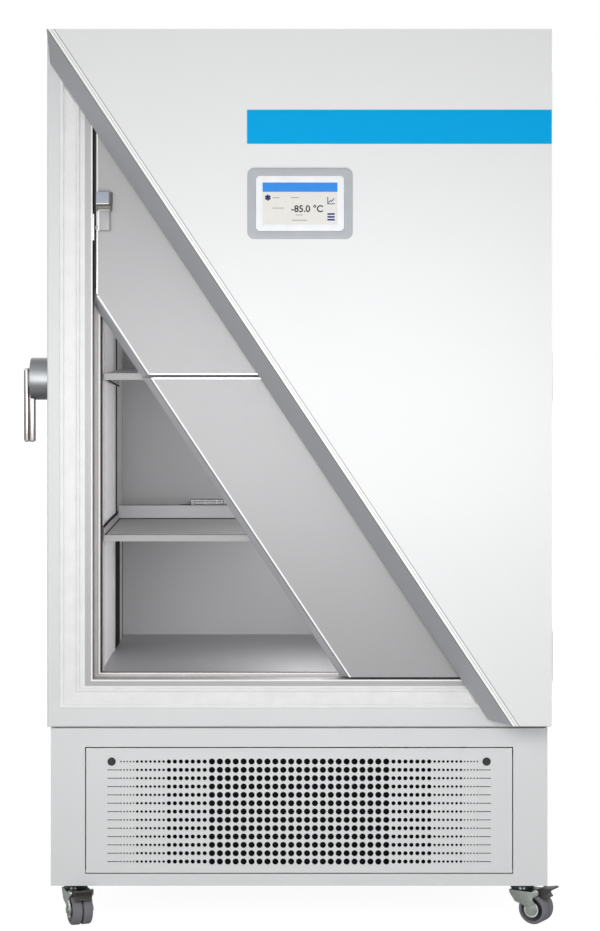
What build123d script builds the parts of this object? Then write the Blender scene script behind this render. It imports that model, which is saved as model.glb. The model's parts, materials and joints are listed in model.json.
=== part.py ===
from build123d import *

import math
import os
from dataclasses import dataclass

# Upright laboratory freezer, shown sectioned: the outer door and both inner doors are cut on a slope.
# Working axes: X across, 0 on the cabinet's centre line; Y back from the outer door's front face;
# Z up from the floor. Every sub-part is moved to the part's own origin when it is written.
# Sizes are in millimetres.

# Base and castors
base_side_inset = 8.0
base_height = 348.5
swivel_race = 7.3
base_sheet = 2.0
base_reveal = 3.0
base_rail = 40.0
pad_inset = 12.0
castor_side_inset = 50.0
castor_front_inset = 60.0
castor_angles = {"front_left": 20.0, "front_right": 58.0, "rear_left": 200.0, "rear_right": 152.0}
wheel_diameter = 67.0
wheel_width = 47.0
castor_trail = 34.0
fork_leg = 3.0
wheel_side_gap = 1.0
fork_crown = 3.0
crown_clearance = 11.0
swivel_radius = 22.0
axle_radius = 5.0
axle_nut = 12.0
castor_plate = (76.0, 66.0, 3.2)
pedal_reach = 35.0
pedal_half = 20.0
pedal_pin_radius = 2.5
running_gap = 0.3

# Foamed cabinet
cabinet_width = 1116.0
cabinet_height = 1538.0
cabinet_depth = 820.0
case_sheet = 1.5
liner_sheet = 1.2
side_wall = 116.0
floor_wall = 114.0
roof_wall = 120.0
rear_wall = 130.0
case_edge_radius = 4.0
rear_spacer_depth = 20.0
rear_spacer_width = 40.0
rear_spacer_height = 160.0
rear_spacer_drop = 209.0

# Stepped front frame, from the outside inwards
flange_side = 28.0
flange_low = 42.0
flange_high = 34.0
breaker_width = 48.0
breaker_side_width = 55.0
breaker_thickness = 10.0
breaker_lip = 9.0
breaker_lip_proud = 2.5
channel_width = 27.0
channel_depth = 4.0
bead_width = 8.0
collar_set_back = 6.0
ledge_width = 16.0
ledge_low = 10.0

# Outer door
door_side_inset = 8.0
door_thickness = 86.0
door_low_step = 17.5
door_high_step = 4.0
seal_gap = 4.0
door_sheet = 1.5
door_liner = 3.0
door_gasket_inset = 13.0
door_gasket_width = 20.0
section_cover = 2.0
bevel_run = 0.5465
outer_cut_top_inset = 3.0
outer_cut_bottom_inset = 85.3

# Outer hinges
hinge_end_inset = 140.0
hinge_length = 110.0
hinge_leaf = 3.0
hinge_axis_inset = 3.0
hinge_axis_lead = 2.0
hinge_barrel_radius = 6.0
hinge_pin_radius = 2.5
hinge_leaf_reach = 60.0
hinge_pocket_gap = 0.5
hinge_pin_length = 40.0

# Display
display_drop = 379.5
display_offset = 2.0
bezel_size = (228.6, 154.7)
bezel_radius = 15.0
bezel_proud = 3.0
surround_size = (191.5, 120.0)
surround_radius = 9.0
screen_size = (163.0, 91.0)
display_module_depth = 25.0

# Inner doors
inner_door_clearance = 9.0
inner_door_foot_gap = 5.0
inner_door_head_gap = 10.0
inner_door_thickness = 38.0
inner_seal_gap = 4.0
inner_door_set_back = 2.0
inner_door_sheet = 1.2
inner_door_liner = 2.0
inner_door_split_gap = 7.0
inner_door_split_drop = 2.0
inner_gasket_width = 6.0
inner_cut_top_inset = 4.6
inner_cut_top_rise = 165.4
inner_cut_bottom_inset = 340.2
inner_cut_bottom_rise = 3.4
inner_hinge_offset = 5.0
inner_hinge_lead = 4.0
inner_barrel_radius = 4.0
inner_hinge_leaf = (20.0, 2.0, 60.0)
inner_hinge_inset = 70.0

# Inner door latch
latch_housing_size = (36.0, 18.0, 43.0)
latch_drop = 239.0
latch_plate = (30.0, 4.0, 44.0)
latch_pin_radius = 3.0
strike_size = (3.5, 26.0, 58.0)
strike_drop = 20.0

# Shelves
shelf_sheet = 1.5
shelf_flange = 14.0
shelf_upstand = 15.0
shelf_levels = {"lower": 307.0, "divider": 668.0, "upper": 977.0}
shelf_front_gap = 22.0
shelf_back_gap = 16.0
shelf_side_gap = 6.0
rail_width = 22.0
rail_thickness = 3.0
rail_front_set = 28.0
rail_back_set = 160.0
rail_slot = (8.0, 12.0)
rail_pitch = 220.0
clip_size = (18.0, 14.0)
clip_sheet = 2.0

# Sensor guard on the back wall
guard_left = -270.0
guard_length = 180.0
guard_rise = 13.0
guard_height = 21.0
guard_depth = 14.0
probe_radius = 3.0

# Door handle on the cabinet's left side
handle_height = 1212.7
handle_set_back = 60.0
boss_radius = 47.0
boss_length = 45.5
boss_nose_radius = 22.0
boss_nose_depth = 4.0
handle_pin_radius = 8.0
lever_width = 25.0
lever_depth = 30.0
lever_drop = 141.2
lever_rise = 24.3
lever_ridge = 10.4
lever_corner = 7.0
lever_groove = 3.0

# Grille panel
grille_half = 471.5
grille_foot = 28.8
grille_head = 43.6
grille_gap = 2.5
grille_flange = 10.0
grille_row_pitch = 18.45
grille_row_foot = 24.8
grille_row_head = 29.0
hole_columns = 23
hole_pitch = 17.54
hole_diameter = 13.7
hole_sides = 4
slot_inset = 46.8
slot_length = 27.2
slot_height = 1.8
grille_axis_set = 4.0
grille_axis_rise = 3.5
grille_pin_radius = 1.6
lock_inset = 56.5
lock_head_radius = 9.15
lock_head_proud = 1.5
lock_shaft_radius = 4.0
lock_wing = (22.0, 3.0, 8.0)
lock_bracket_set = 14.0
filter_set = 26.0
filter_thickness = 8.0

# Machinery in the base
condenser_inset = 120.0
condenser_width = 400.0
condenser_height = 293.5
condenser_set = 60.0
condenser_depth = 60.0
condenser_fins = 25
fin_gap = 6.0
fan_radius = 118.0
fan_tip_gap = 7.0
fan_hub_radius = 26.0
fan_blades = 5
fan_blade_pitch = 28.0
fan_shaft_radius = 4.0
fan_shaft_lead = 48.0
fan_bracket_set = 45.0
fan_blade_width = 62.0
fan_blade_thickness = 2.0
fan_hub_depth = 24.0
fan_hub_gap = 4.0
fan_motor_radius = 42.0
fan_motor_length = 60.0
shroud_depth = 40.0
compressor_radius = 92.0
compressor_height = 215.0
compressor_crown = 30.0
compressor_insets = {"high_stage": 780.0, "low_stage": 420.0}
compressor_back_inset = 320.0
compressor_feet = 85.0
grommet_height = 15.0
grommet_half = 13.0
pipe_radius = 5.0
pipe_sides = 6
pipe_elbow = 18.0
pipe_port_height = 90.0
exchanger_size = (110.0, 60.0, 260.0)
exchanger_inset = (220.0, 240.0)
electrics_size = (240.0, 230.0, 210.0)
electrics_inset = (40.0, 30.0)
electrics_sheet = 1.5
inlet_size = (48.0, 24.0, 30.0)
inlet_inset = 220.0
inlet_rise = 155.5
switch_offset = 70.0
rocker_size = (13.0, 10.0, 24.0)
rear_vent = (200.0, 6.0)
rear_vent_inset = 150.0
rear_vent_gap = 60.0
rear_vent_rise = 75.5
rear_vent_pitch = 24.0
rear_vent_rows = 9

# Cold circuit in the foam
coil_loops = 12
coil_tube = (6.0, 14.0)
coil_front_set = 40.0

# Sides given to round rods: the small ones, and those past the limit
small_round_sides = 12
large_round_sides = 32
small_round_limit = 25.0


@dataclass(frozen=True)
class Opening:
    """A rectangle seen from the front, centred across the cabinet."""

    half: float
    low: float
    high: float

    def prism(self, y0, y1):
        """The rectangle carried from one depth to another."""
        return block(-self.half, self.half, y0, y1, self.low, self.high)

    def grown(self, by):
        """The rectangle with every edge moved outwards."""
        return Opening(self.half + by, self.low - by, self.high + by)


@dataclass(frozen=True)
class SectionCut:
    """A straight cut seen from the front, leaning towards the open side with depth."""

    top: tuple
    bottom: tuple
    y_face: float

    def slab(self, y0, y1, x_from, x_to):
        """The leaning slab between two distances along X from the cut's front edge."""
        slope = (self.bottom[0] - self.top[0]) / (self.bottom[1] - self.top[1])
        z_high = self.top[1] + cabinet_height
        z_low = self.bottom[1] - cabinet_height
        lean = bevel_run * (self.y_face - y0)
        x_high = self.top[0] + slope * (z_high - self.top[1]) + lean
        x_low = self.top[0] + slope * (z_low - self.top[1]) + lean
        corners = [
            (x_high + x_from, y0, z_high),
            (x_high + x_to, y0, z_high),
            (x_low + x_to, y0, z_low),
            (x_low + x_from, y0, z_low),
        ]
        face = make_face(Polyline(*corners, close=True))
        length = (y1 - y0) * math.hypot(1.0, bevel_run)
        return extrude(face, amount=length, dir=(-bevel_run, 1.0, 0.0))

    def open_side(self, y0, y1, inset=0.0):
        """All that the cut takes away, to a distance behind its face."""
        return self.slab(y0, y1, -2.0 * cabinet_width, inset)


def block(x0, x1, y0, y1, z0, z1):
    """A rectangular block between two corners."""
    return Pos((x0 + x1) / 2, (y0 + y1) / 2, (z0 + z1) / 2) * Box(x1 - x0, y1 - y0, z1 - z0)


def round_face(radius):
    """A circle drawn as a polygon, with more sides where it is large."""
    sides = small_round_sides if radius < small_round_limit else large_round_sides
    return RegularPolygon(radius, sides)


def rod(start, end, radius):
    """A round rod between two points, drawn with few sides."""
    line = Vector(*end) - Vector(*start)
    return extrude(Plane(origin=start, z_dir=line) * round_face(radius), amount=line.length)


def front_plate(sketch, y0, y1):
    """A flat shape drawn across and up, carried from one depth to another."""
    plane = Plane(origin=(0, y1, 0), x_dir=(1, 0, 0), z_dir=(0, -1, 0))
    return extrude(plane * sketch, amount=y1 - y0)


def side_plate(points, x0, x1):
    """A polygon drawn in depth and height, carried from one X to another."""
    face = make_face(Polyline(*[(x0, y, z) for y, z in points], close=True))
    return extrude(face, amount=x1 - x0, dir=(1, 0, 0))


def group(pieces):
    """Separate solids that share one sub-part."""
    return Compound([solid for piece in pieces for solid in piece.solids()])


# Levels and depths that the sizes above lead to
case_half = cabinet_width / 2
base_half = case_half - base_side_inset
wheel_radius = wheel_diameter / 2
wheel_half = wheel_width / 2
fork_half = wheel_half + wheel_side_gap + fork_leg
crown_low = wheel_diameter + crown_clearance
crown_high = crown_low + fork_crown
ride_height = crown_high + swivel_race + castor_plate[2]
tray_top = ride_height + base_sheet
base_top = ride_height + base_height
case_low = base_top + base_reveal
case_high = case_low + cabinet_height
y_case = door_thickness + seal_gap
y_back = y_case + cabinet_depth
y_rear = y_back + rear_spacer_depth
y_collar = y_case + collar_set_back
y_inner = y_collar + inner_door_set_back
y_inner_back = y_inner + inner_door_thickness
y_ledge = y_inner_back + inner_seal_gap
y_room_back = y_back - rear_wall
y_breaker_back = y_case + breaker_thickness
room = Opening(case_half - side_wall, case_low + floor_wall, case_high - roof_wall)
rebate = Opening(room.half + ledge_width, room.low - ledge_low, room.high + ledge_width)
breaker = Opening(case_half - flange_side, case_low + flange_low, case_high - flange_high)
breaker_mouth = Opening(breaker.half - breaker_side_width, breaker.low + breaker_width,
                        breaker.high - breaker_width)
door = Opening(case_half - door_side_inset, case_low + door_low_step, case_high - door_high_step)
outer_cut = SectionCut((-door.half + outer_cut_top_inset, door.high),
                       (door.half - outer_cut_bottom_inset, door.low), 0.0)
shelf_tops = {name: room.low + level for name, level in shelf_levels.items()}
inner_door_half = rebate.half - inner_door_clearance
upper_low = shelf_tops["divider"] - inner_door_split_drop
upper_door = Opening(inner_door_half, upper_low, rebate.high - inner_door_head_gap)
lower_door = Opening(inner_door_half, rebate.low + inner_door_foot_gap,
                     upper_low - inner_door_split_gap)
inner_cut = SectionCut((-inner_door_half + inner_cut_top_inset, upper_door.low + inner_cut_top_rise),
                       (inner_door_half - inner_cut_bottom_inset, lower_door.low + inner_cut_bottom_rise),
                       y_inner)
hinge_x = door.half + hinge_axis_inset + hinge_axis_lead
hinge_y = door_thickness + hinge_axis_lead
hinge_heights = (door.low + hinge_end_inset, (door.low + door.high) / 2, door.high - hinge_end_inset)
display_height = door.high - display_drop
inner_hinge_x = inner_door_half + inner_hinge_offset
inner_hinge_y = y_inner - inner_hinge_lead
latch_top = upper_door.high - latch_drop
guard_low = shelf_tops["lower"] + guard_rise
handle_x = -case_half - boss_length
handle_y = y_case + handle_set_back
lever_left = handle_x - lever_ridge
lever_low = handle_height - lever_drop
lever_high = handle_height + lever_rise
grille = Opening(grille_half, ride_height + grille_foot, base_top - grille_head)
grille_axis_y = y_case + grille_axis_set
grille_axis_z = grille.low + grille_axis_rise
grille_row_low = grille.low + grille_row_foot
grille_rows = int((grille.high - grille_row_head - grille_row_low) / grille_row_pitch) + 1
lock_z = grille_row_low + (grille_rows - 1) * grille_row_pitch
lock_x = grille.half - lock_inset
condenser_left = -base_half + condenser_inset
condenser_top = tray_top + condenser_height
compressor_places = {name: (base_half - inset, y_back - compressor_back_inset)
                     for name, inset in compressor_insets.items()}
exchanger_place = (base_half - exchanger_inset[0], y_case + exchanger_inset[1])
electrics_left = base_half - electrics_inset[0] - electrics_size[0]
inlet_x = base_half - inlet_inset
inlet_z = ride_height + inlet_rise
switch_x = inlet_x + switch_offset

# The part's origin: floor level, under the middle of the whole part's box
pedal_turn = math.radians(castor_angles["front_right"])
pedal_tip = castor_trail + 12.0 + pedal_reach
pedal_reach_x = (base_half - castor_side_inset + pedal_tip * math.sin(pedal_turn)
                 + pedal_half * math.cos(pedal_turn))
right_reach = max(hinge_x + hinge_barrel_radius, pedal_reach_x)
shift_x = (-lever_left - right_reach) / 2
shift_y = -(y_rear - bezel_proud) / 2


def hinge_pockets():
    """The recess at each outer hinge barrel, in the door's edge and the cabinet's."""
    radius = hinge_barrel_radius + hinge_pocket_gap
    half = hinge_length / 2
    return [
        block(hinge_x - radius, case_half, hinge_y - radius, hinge_y + radius, z - half, z + half)
        for z in hinge_heights
    ]


def cabinet_shell():
    """Painted case: sides, roof, floor and the front edge turned in as a flange."""
    case = Opening(case_half, case_low, case_high)
    outer = case.prism(y_case, y_back)
    outer = fillet(outer.edges().filter_by(Axis.Y, reverse=True).group_by(Axis.Y)[0], case_edge_radius)
    outer -= case.grown(-case_sheet).prism(y_case + case_sheet, y_back)
    outer -= breaker.prism(y_case, y_case + case_sheet)
    return outer - hinge_pockets()


def cabinet_foam():
    """Poured foam between the case and the liner, with the cold circuit bedded in it."""
    inside = Opening(case_half, case_low, case_high).grown(-case_sheet)
    foam = inside.prism(y_case + case_sheet, y_back - case_sheet)
    foam -= breaker.prism(y_case, y_collar + liner_sheet)
    foam -= breaker.prism(y_case, y_breaker_back) - breaker_mouth.prism(y_case, y_breaker_back)
    foam -= rebate.grown(liner_sheet).prism(y_case, y_ledge + liner_sheet)
    foam -= room.grown(liner_sheet).prism(y_ledge, y_room_back + liner_sheet)
    foam -= evaporator_coil()
    return foam - hinge_pockets()


def cabinet_liner():
    """Stainless chamber with its ledge, rebate and front collar, folded and welded as one."""
    liner = breaker_mouth.prism(y_collar, y_collar + liner_sheet)
    liner += rebate.grown(liner_sheet).prism(y_collar, y_ledge + liner_sheet)
    liner += room.grown(liner_sheet).prism(y_ledge, y_room_back + liner_sheet)
    liner -= rebate.prism(y_collar, y_ledge)
    return liner - room.prism(y_ledge, y_room_back)


def breaker_frame():
    """White plastic frame: outer lip, gasket channel and inner bead around the mouth."""
    at_channel = breaker.grown(-breaker_lip)
    at_bead = at_channel.grown(-channel_width)
    y_lip = y_case - breaker_lip_proud
    lip = breaker.prism(y_lip, y_breaker_back) - at_channel.prism(y_lip, y_breaker_back)
    lip = chamfer(lip.edges().group_by(Axis.Y)[0], breaker_lip_proud / 2)
    channel = at_channel.prism(y_case + channel_depth, y_breaker_back)
    channel -= at_bead.prism(y_case + channel_depth, y_breaker_back)
    bead = at_bead.prism(y_case, y_breaker_back) - at_bead.grown(-bead_width).prism(y_case, y_breaker_back)
    bead = chamfer(bead.edges().group_by(Axis.Y)[0], bead_width / 4)
    slope = at_bead.grown(-bead_width).prism(y_collar, y_breaker_back)
    slope -= breaker_mouth.prism(y_collar, y_breaker_back)
    return lip + channel + bead + slope


def evaporator_coil():
    """Flattened tube run round the chamber's sides and back, each loop joined to the next at the front."""
    thick, tall = coil_tube
    wall = room.grown(liner_sheet)
    outer = wall.half + thick
    y_front = y_ledge + coil_front_set
    y_end = y_room_back + liner_sheet
    pitch = (wall.high - wall.low - tall) / (coil_loops - 1)
    coil = None
    for loop in range(coil_loops):
        z0 = wall.low + loop * pitch
        run = block(-outer, outer, y_front, y_end + thick, z0, z0 + tall)
        run -= block(-wall.half, wall.half, y_front, y_end, z0, z0 + tall)
        coil = run if coil is None else coil + run
        if loop:
            side = -1 if loop % 2 else 1
            x0, x1 = sorted((side * wall.half, side * outer))
            coil += block(x0, x1, y_front, y_front + tall, z0 - pitch, z0)
    return coil


def rear_panel():
    """Back sheet of the cabinet, set inside the case."""
    inside = Opening(case_half, case_low, case_high).grown(-case_sheet)
    return inside.prism(y_back - case_sheet, y_back)


def rear_spacers():
    """Two buffers that keep the back off the wall."""
    reach = rear_spacer_width / 2
    top = case_high - rear_spacer_drop
    return [
        block(centre - reach, centre + reach, y_back, y_rear, top - rear_spacer_height, top)
        for centre in (-room.half, room.half)
    ]


def shelf(z_top, y_front, y_end):
    """Stainless shelf folded down at the front and sides and up at the back."""
    half = room.half - shelf_side_gap
    sheet = block(-half, half, y_front, y_end, z_top - shelf_sheet, z_top)
    sheet += block(-half, half, y_front, y_front + shelf_sheet, z_top - shelf_flange, z_top)
    sheet += block(-half, half, y_end - shelf_sheet, y_end, z_top - shelf_sheet, z_top + shelf_upstand)
    for side in (-1, 1):
        x0, x1 = sorted((side * half, side * (half - shelf_sheet)))
        sheet += block(x0, x1, y_front, y_end, z_top - shelf_flange, z_top)
    return sheet


def shelves():
    """The three shelves; the middle one also closes the gap between the inner doors."""
    y_end = y_room_back - shelf_back_gap
    fronts = {"lower": y_ledge + shelf_front_gap, "divider": y_ledge, "upper": y_ledge + shelf_front_gap}
    return [shelf(z_top, fronts[name], y_end) for name, z_top in shelf_tops.items()]


def rail_places():
    """Side and front depth of each shelf rail."""
    fronts = (y_ledge + rail_front_set, y_room_back - rail_back_set)
    return [(side, y0) for side in (-1, 1) for y0 in fronts]


def shelf_rails():
    """Four slotted rails fixed to the chamber's side walls."""
    slot_deep, slot_tall = rail_slot
    count = int((room.high - room.low - rail_pitch) / rail_pitch)
    rails = []
    for side, y0 in rail_places():
        x0, x1 = sorted((side * room.half, side * (room.half - rail_thickness)))
        rail = block(x0, x1, y0, y0 + rail_width, room.low, room.high)
        middle = y0 + rail_width / 2
        slots = [
            block(x0, x1, middle - slot_deep / 2, middle + slot_deep / 2, z, z + slot_tall)
            for z in (room.low + rail_pitch * (index + 1) for index in range(count))
        ]
        rails.append(rail - slots)
    return rails


def shelf_clips():
    """A bracket with a gusset on every rail under each shelf."""
    reach, tall = clip_size
    clips = []
    for z_top in shelf_tops.values():
        z_high = z_top - shelf_flange
        for side, y0 in rail_places():
            face = side * (room.half - rail_thickness)
            x0, x1 = sorted((face, face - side * reach))
            clip = block(x0, x1, y0, y0 + rail_width, z_high - clip_sheet, z_high)
            back = sorted((face, face - side * clip_sheet))
            clip += block(back[0], back[1], y0, y0 + rail_width, z_high - tall, z_high)
            corners = [(face, y0, z_high), (face - side * reach, y0, z_high), (face, y0, z_high - tall)]
            clip += extrude(make_face(Polyline(*corners, close=True)), amount=clip_sheet, dir=(0, 1, 0))
            clips.append(clip)
    return clips


def sensor_guard():
    """Folded cover over the temperature probe on the back wall."""
    outer = block(guard_left, guard_left + guard_length, y_room_back - guard_depth, y_room_back,
                  guard_low, guard_low + guard_height)
    inner = block(guard_left + shelf_sheet, guard_left + guard_length - shelf_sheet,
                  y_room_back - guard_depth + shelf_sheet, y_room_back,
                  guard_low + shelf_sheet, guard_low + guard_height - shelf_sheet)
    return outer - inner


def temperature_probe():
    """Probe lying along the back wall inside its guard."""
    y = y_room_back - probe_radius - running_gap
    z = guard_low + guard_height / 2
    return rod((guard_left + 10, y, z), (guard_left + guard_length - 10, y, z), probe_radius)


def sectioned_door(face, y0, y1, cut, sheet, liner):
    """Folded skin, foam, back liner and the plate that covers the cut, for one door."""
    kept = cut.open_side(y0, y1, section_cover)
    y_liner = y1 - liner
    skin = face.prism(y0, y_liner) - face.grown(-sheet).prism(y0 + sheet, y_liner) - kept
    foam = face.grown(-sheet).prism(y0 + sheet, y_liner) - kept
    back = face.prism(y_liner, y1) - kept
    cover = face.prism(y0, y1) & cut.slab(y0, y1, 0.0, section_cover)
    return skin, foam, back, cover


def seal_ring(face, width, y0, y1, cut):
    """Rubber seal on a door's back, sectioned with the door."""
    ring = face.prism(y0, y1) - face.grown(-width).prism(y0, y1)
    return ring - cut.open_side(y0, y1)


def display_pocket(y1):
    """The recess in the outer door that takes the display module."""
    wide, tall = surround_size
    across = display_offset
    middle = display_height
    return block(across - wide / 2, across + wide / 2, 0.0, y1, middle - tall / 2, middle + tall / 2)


def outer_door():
    """The outer door's own sub-parts by name."""
    skin, foam, back, cover = sectioned_door(door, 0.0, door_thickness, outer_cut, door_sheet, door_liner)
    skin = skin - hinge_pockets() - display_pocket(door_sheet)
    foam = foam - hinge_pockets() - display_pocket(display_module_depth)
    seal = Opening(breaker.half - door_gasket_inset, breaker.low + door_gasket_inset,
                   breaker.high - door_gasket_inset)
    y_seal = y_case + channel_depth - running_gap
    return {
        "outer_door_skin": group([skin, back - hinge_pockets()]),
        "outer_door_foam": foam,
        "outer_door_section_cover": cover,
        "outer_door_gasket": seal_ring(seal, door_gasket_width, door_thickness, y_seal, outer_cut),
    }


def display_parts():
    """Bezel, screen, and the module whose white face surrounds the screen."""
    centre = Pos(display_offset, display_height)
    y_front = -bezel_proud
    y_surround = y_front + 0.6
    bezel = front_plate(centre * (RectangleRounded(*bezel_size, bezel_radius)
                                  - RectangleRounded(*surround_size, surround_radius)), y_front, 0.0)
    surround = front_plate(centre * (RectangleRounded(*surround_size, surround_radius)
                                     - Rectangle(*screen_size)), y_surround, 0.0)
    screen = front_plate(centre * Rectangle(*screen_size), y_surround + 0.6, 0.0)
    return {
        "display_bezel": bezel,
        "display_screen": screen,
        "display_module": surround + display_pocket(display_module_depth),
    }


def outer_hinges():
    """Three lift-off hinges: bored upper halves on the door, lower ones with the pins on the cabinet."""
    moving, fixed = [], []
    half = hinge_length / 2
    for z in hinge_heights:
        foot, seat, head = ((hinge_x, hinge_y, level) for level in (z - half, z, z + half))
        leaf = block(door.half, door.half + hinge_leaf, hinge_y - hinge_leaf_reach, hinge_y, z, z + half)
        pin_top = (hinge_x, hinge_y, z + hinge_pin_length)
        bore = rod(seat, pin_top, hinge_pin_radius + running_gap)
        moving.append(leaf + rod(seat, head, hinge_barrel_radius) - bore)
        plate = block(case_half, case_half + hinge_leaf, hinge_y, hinge_y + hinge_leaf_reach, z - half, z)
        fixed.append(plate + rod(foot, seat, hinge_barrel_radius) + rod(seat, pin_top, hinge_pin_radius))
    return moving, fixed


def inner_hinges(face):
    """Small lift-off hinges of one inner door: upper halves on its face and lower ones on the collar."""
    wide, thick, length = inner_hinge_leaf
    root = inner_barrel_radius * 0.75
    edge = inner_barrel_radius + wide
    half = length / 2
    moving, fixed = [], []
    for z in (face.low + inner_hinge_inset, face.high - inner_hinge_inset):
        foot, seat, head = ((inner_hinge_x, inner_hinge_y, level) for level in (z - half, z, z + half))
        leaf = block(inner_hinge_x - edge, inner_hinge_x - root, y_inner - thick, y_inner, z, z + half)
        moving.append(leaf + rod(seat, head, inner_barrel_radius))
        plate = block(inner_hinge_x + root, inner_hinge_x + edge, y_collar - thick, y_collar, z - half, z)
        fixed.append(plate + rod(foot, seat, inner_barrel_radius))
    return moving, fixed


def inner_door(name, face):
    """One inner door's sub-parts by name."""
    skin, foam, back, cover = sectioned_door(face, y_inner, y_inner_back, inner_cut, inner_door_sheet,
                                             inner_door_liner)
    seal = seal_ring(face, inner_gasket_width, y_inner_back, y_ledge - running_gap, inner_cut)
    return {
        f"{name}_inner_door_skin": group([skin, back]),
        f"{name}_inner_door_foam": foam,
        f"{name}_inner_door_section_cover": cover,
        f"{name}_inner_door_gasket": seal,
    }


def inner_latch():
    """Latch of the upper inner door: housing with its pin, lifting plate, and the strike in the rebate."""
    wide, proud, tall = latch_housing_size
    left = -inner_door_half
    top = latch_top
    bottom = top - tall
    pin_y = y_inner - proud / 2
    pin_z = bottom + proud / 2
    housing = block(left, left + wide, y_inner - proud, y_inner, bottom, top)
    housing = chamfer(housing.edges().group_by(Axis.Y)[0], 4.0)
    plate_wide, plate_thick, plate_tall = latch_plate
    mouth_high = pin_z + latch_pin_radius + 3.0
    housing -= block(left + 2.0, left + plate_wide + 2.0, y_inner - proud, y_inner, bottom, mouth_high)
    housing += rod((left + 1.0, pin_y, pin_z), (left + wide - 1.0, pin_y, pin_z), latch_pin_radius)
    x0 = left + 2.0 + running_gap
    x1 = left + plate_wide + 2.0 - running_gap
    eye = rod((x0, pin_y, pin_z), (x1, pin_y, pin_z), latch_pin_radius + 2.2)
    low = bottom - plate_tall
    y_plate = y_inner - running_gap
    plate = block(x0, x1, y_plate - plate_thick, y_plate, low, pin_z)
    plate += block(x0, x1, pin_y, y_plate, pin_z - 2.0, pin_z)
    plate += eye
    plate -= rod((x0, pin_y, pin_z), (x1, pin_y, pin_z), latch_pin_radius + running_gap)
    hook_low = low + 4.0
    plate += block(left - 3.0, x0, y_plate - plate_thick, y_plate, hook_low, hook_low + 7.0)
    deep = strike_size[1]
    strike = block(-rebate.half, -rebate.half + strike_size[0], y_collar, y_collar + deep,
                   low - strike_drop, low - strike_drop + strike_size[2])
    return housing, plate, strike


def boss_shape(extra):
    """The boss as a drum with a shallow cone at its nose, with an allowance all round."""
    root = (-case_half, handle_y, handle_height)
    drum = rod(root, (handle_x - extra, handle_y, handle_height), boss_radius + extra)
    nose = drum.faces().sort_by(Axis.X)[0]
    return chamfer(nose.edges(), boss_radius - boss_nose_radius, boss_nose_depth, reference=nose)


def handle_boss():
    """Round boss fixed to the cabinet's side, bored for the lever's pivot."""
    bore = rod((handle_x, handle_y, handle_height), (-case_half - 8.0, handle_y, handle_height),
               handle_pin_radius + running_gap)
    return boss_shape(0.0) - bore


def handle_lever():
    """Ridged lever that hangs from the boss on its pivot pin."""
    y0 = handle_y - lever_depth / 2
    y1 = handle_y + lever_depth / 2
    lever = block(lever_left, lever_left + lever_width, y0, y1, lever_low, lever_high)
    lever = chamfer(lever.edges().filter_by(Axis.Y), lever_corner)
    lever = chamfer(lever.edges().group_by(Axis.Y)[0] + lever.edges().group_by(Axis.Y)[-1], lever_groove)
    ridge_x = lever_left + lever_ridge
    for y_face, y_deep in ((y0, y0 + lever_groove), (y1, y1 - lever_groove)):
        corners = [(ridge_x - lever_groove, y_face, lever_low), (ridge_x + lever_groove, y_face, lever_low),
                   (ridge_x, y_deep, lever_low)]
        groove = make_face(Polyline(*corners, close=True))
        lever -= extrude(groove, amount=lever_high - lever_low, dir=(0, 0, 1))
    lever -= boss_shape(running_gap)
    clear_low = handle_height - boss_nose_radius
    lever -= block(handle_x - running_gap, lever_left + lever_width, y0, y1, clear_low, lever_high)
    pin = rod((handle_x - lever_ridge / 2, handle_y, handle_height),
              (-case_half - 8.0 - running_gap, handle_y, handle_height), handle_pin_radius)
    return lever + pin


def base_tray():
    """Floor of the base."""
    return block(-base_half + base_sheet, base_half - base_sheet, y_case + base_sheet, y_back - base_sheet,
                 ride_height, tray_top)


def base_frame():
    """Welded frame: corner posts, top rails and the pads that carry the cabinet."""
    half = base_half - base_sheet
    y0 = y_case + base_sheet
    y1 = y_back - base_sheet
    thick = 4.0
    frame = block(-half, half, y0, y1, base_top - thick, base_top)
    frame -= block(-half + base_rail, half - base_rail, y0 + base_rail, y1 - base_rail,
                   base_top - thick, base_top)
    pad = block(-half + pad_inset, half - pad_inset, y0 + pad_inset, y1 - pad_inset, base_top, case_low)
    pad -= block(-half + base_rail, half - base_rail, y0 + base_rail, y1 - base_rail, base_top, case_low)
    frame += pad
    for side in (-1, 1):
        for y_post, toward in ((y0, 1), (y1, -1)):
            x0, x1 = sorted((side * half, side * (half - base_rail)))
            xa, xb = sorted((side * half, side * (half - thick)))
            ya, yb = sorted((y_post, y_post + toward * thick))
            yc, yd = sorted((y_post, y_post + toward * base_rail))
            frame += block(x0, x1, ya, yb, tray_top, base_top - thick)
            frame += block(xa, xb, yc, yd, tray_top, base_top - thick)
    return frame


def base_side_panels():
    """Painted side sheets of the base."""
    panels = []
    for side in (-1, 1):
        x0, x1 = sorted((side * base_half, side * (base_half - base_sheet)))
        panels.append(block(x0, x1, y_case + base_sheet, y_back - base_sheet, ride_height, base_top))
    return panels


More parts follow.
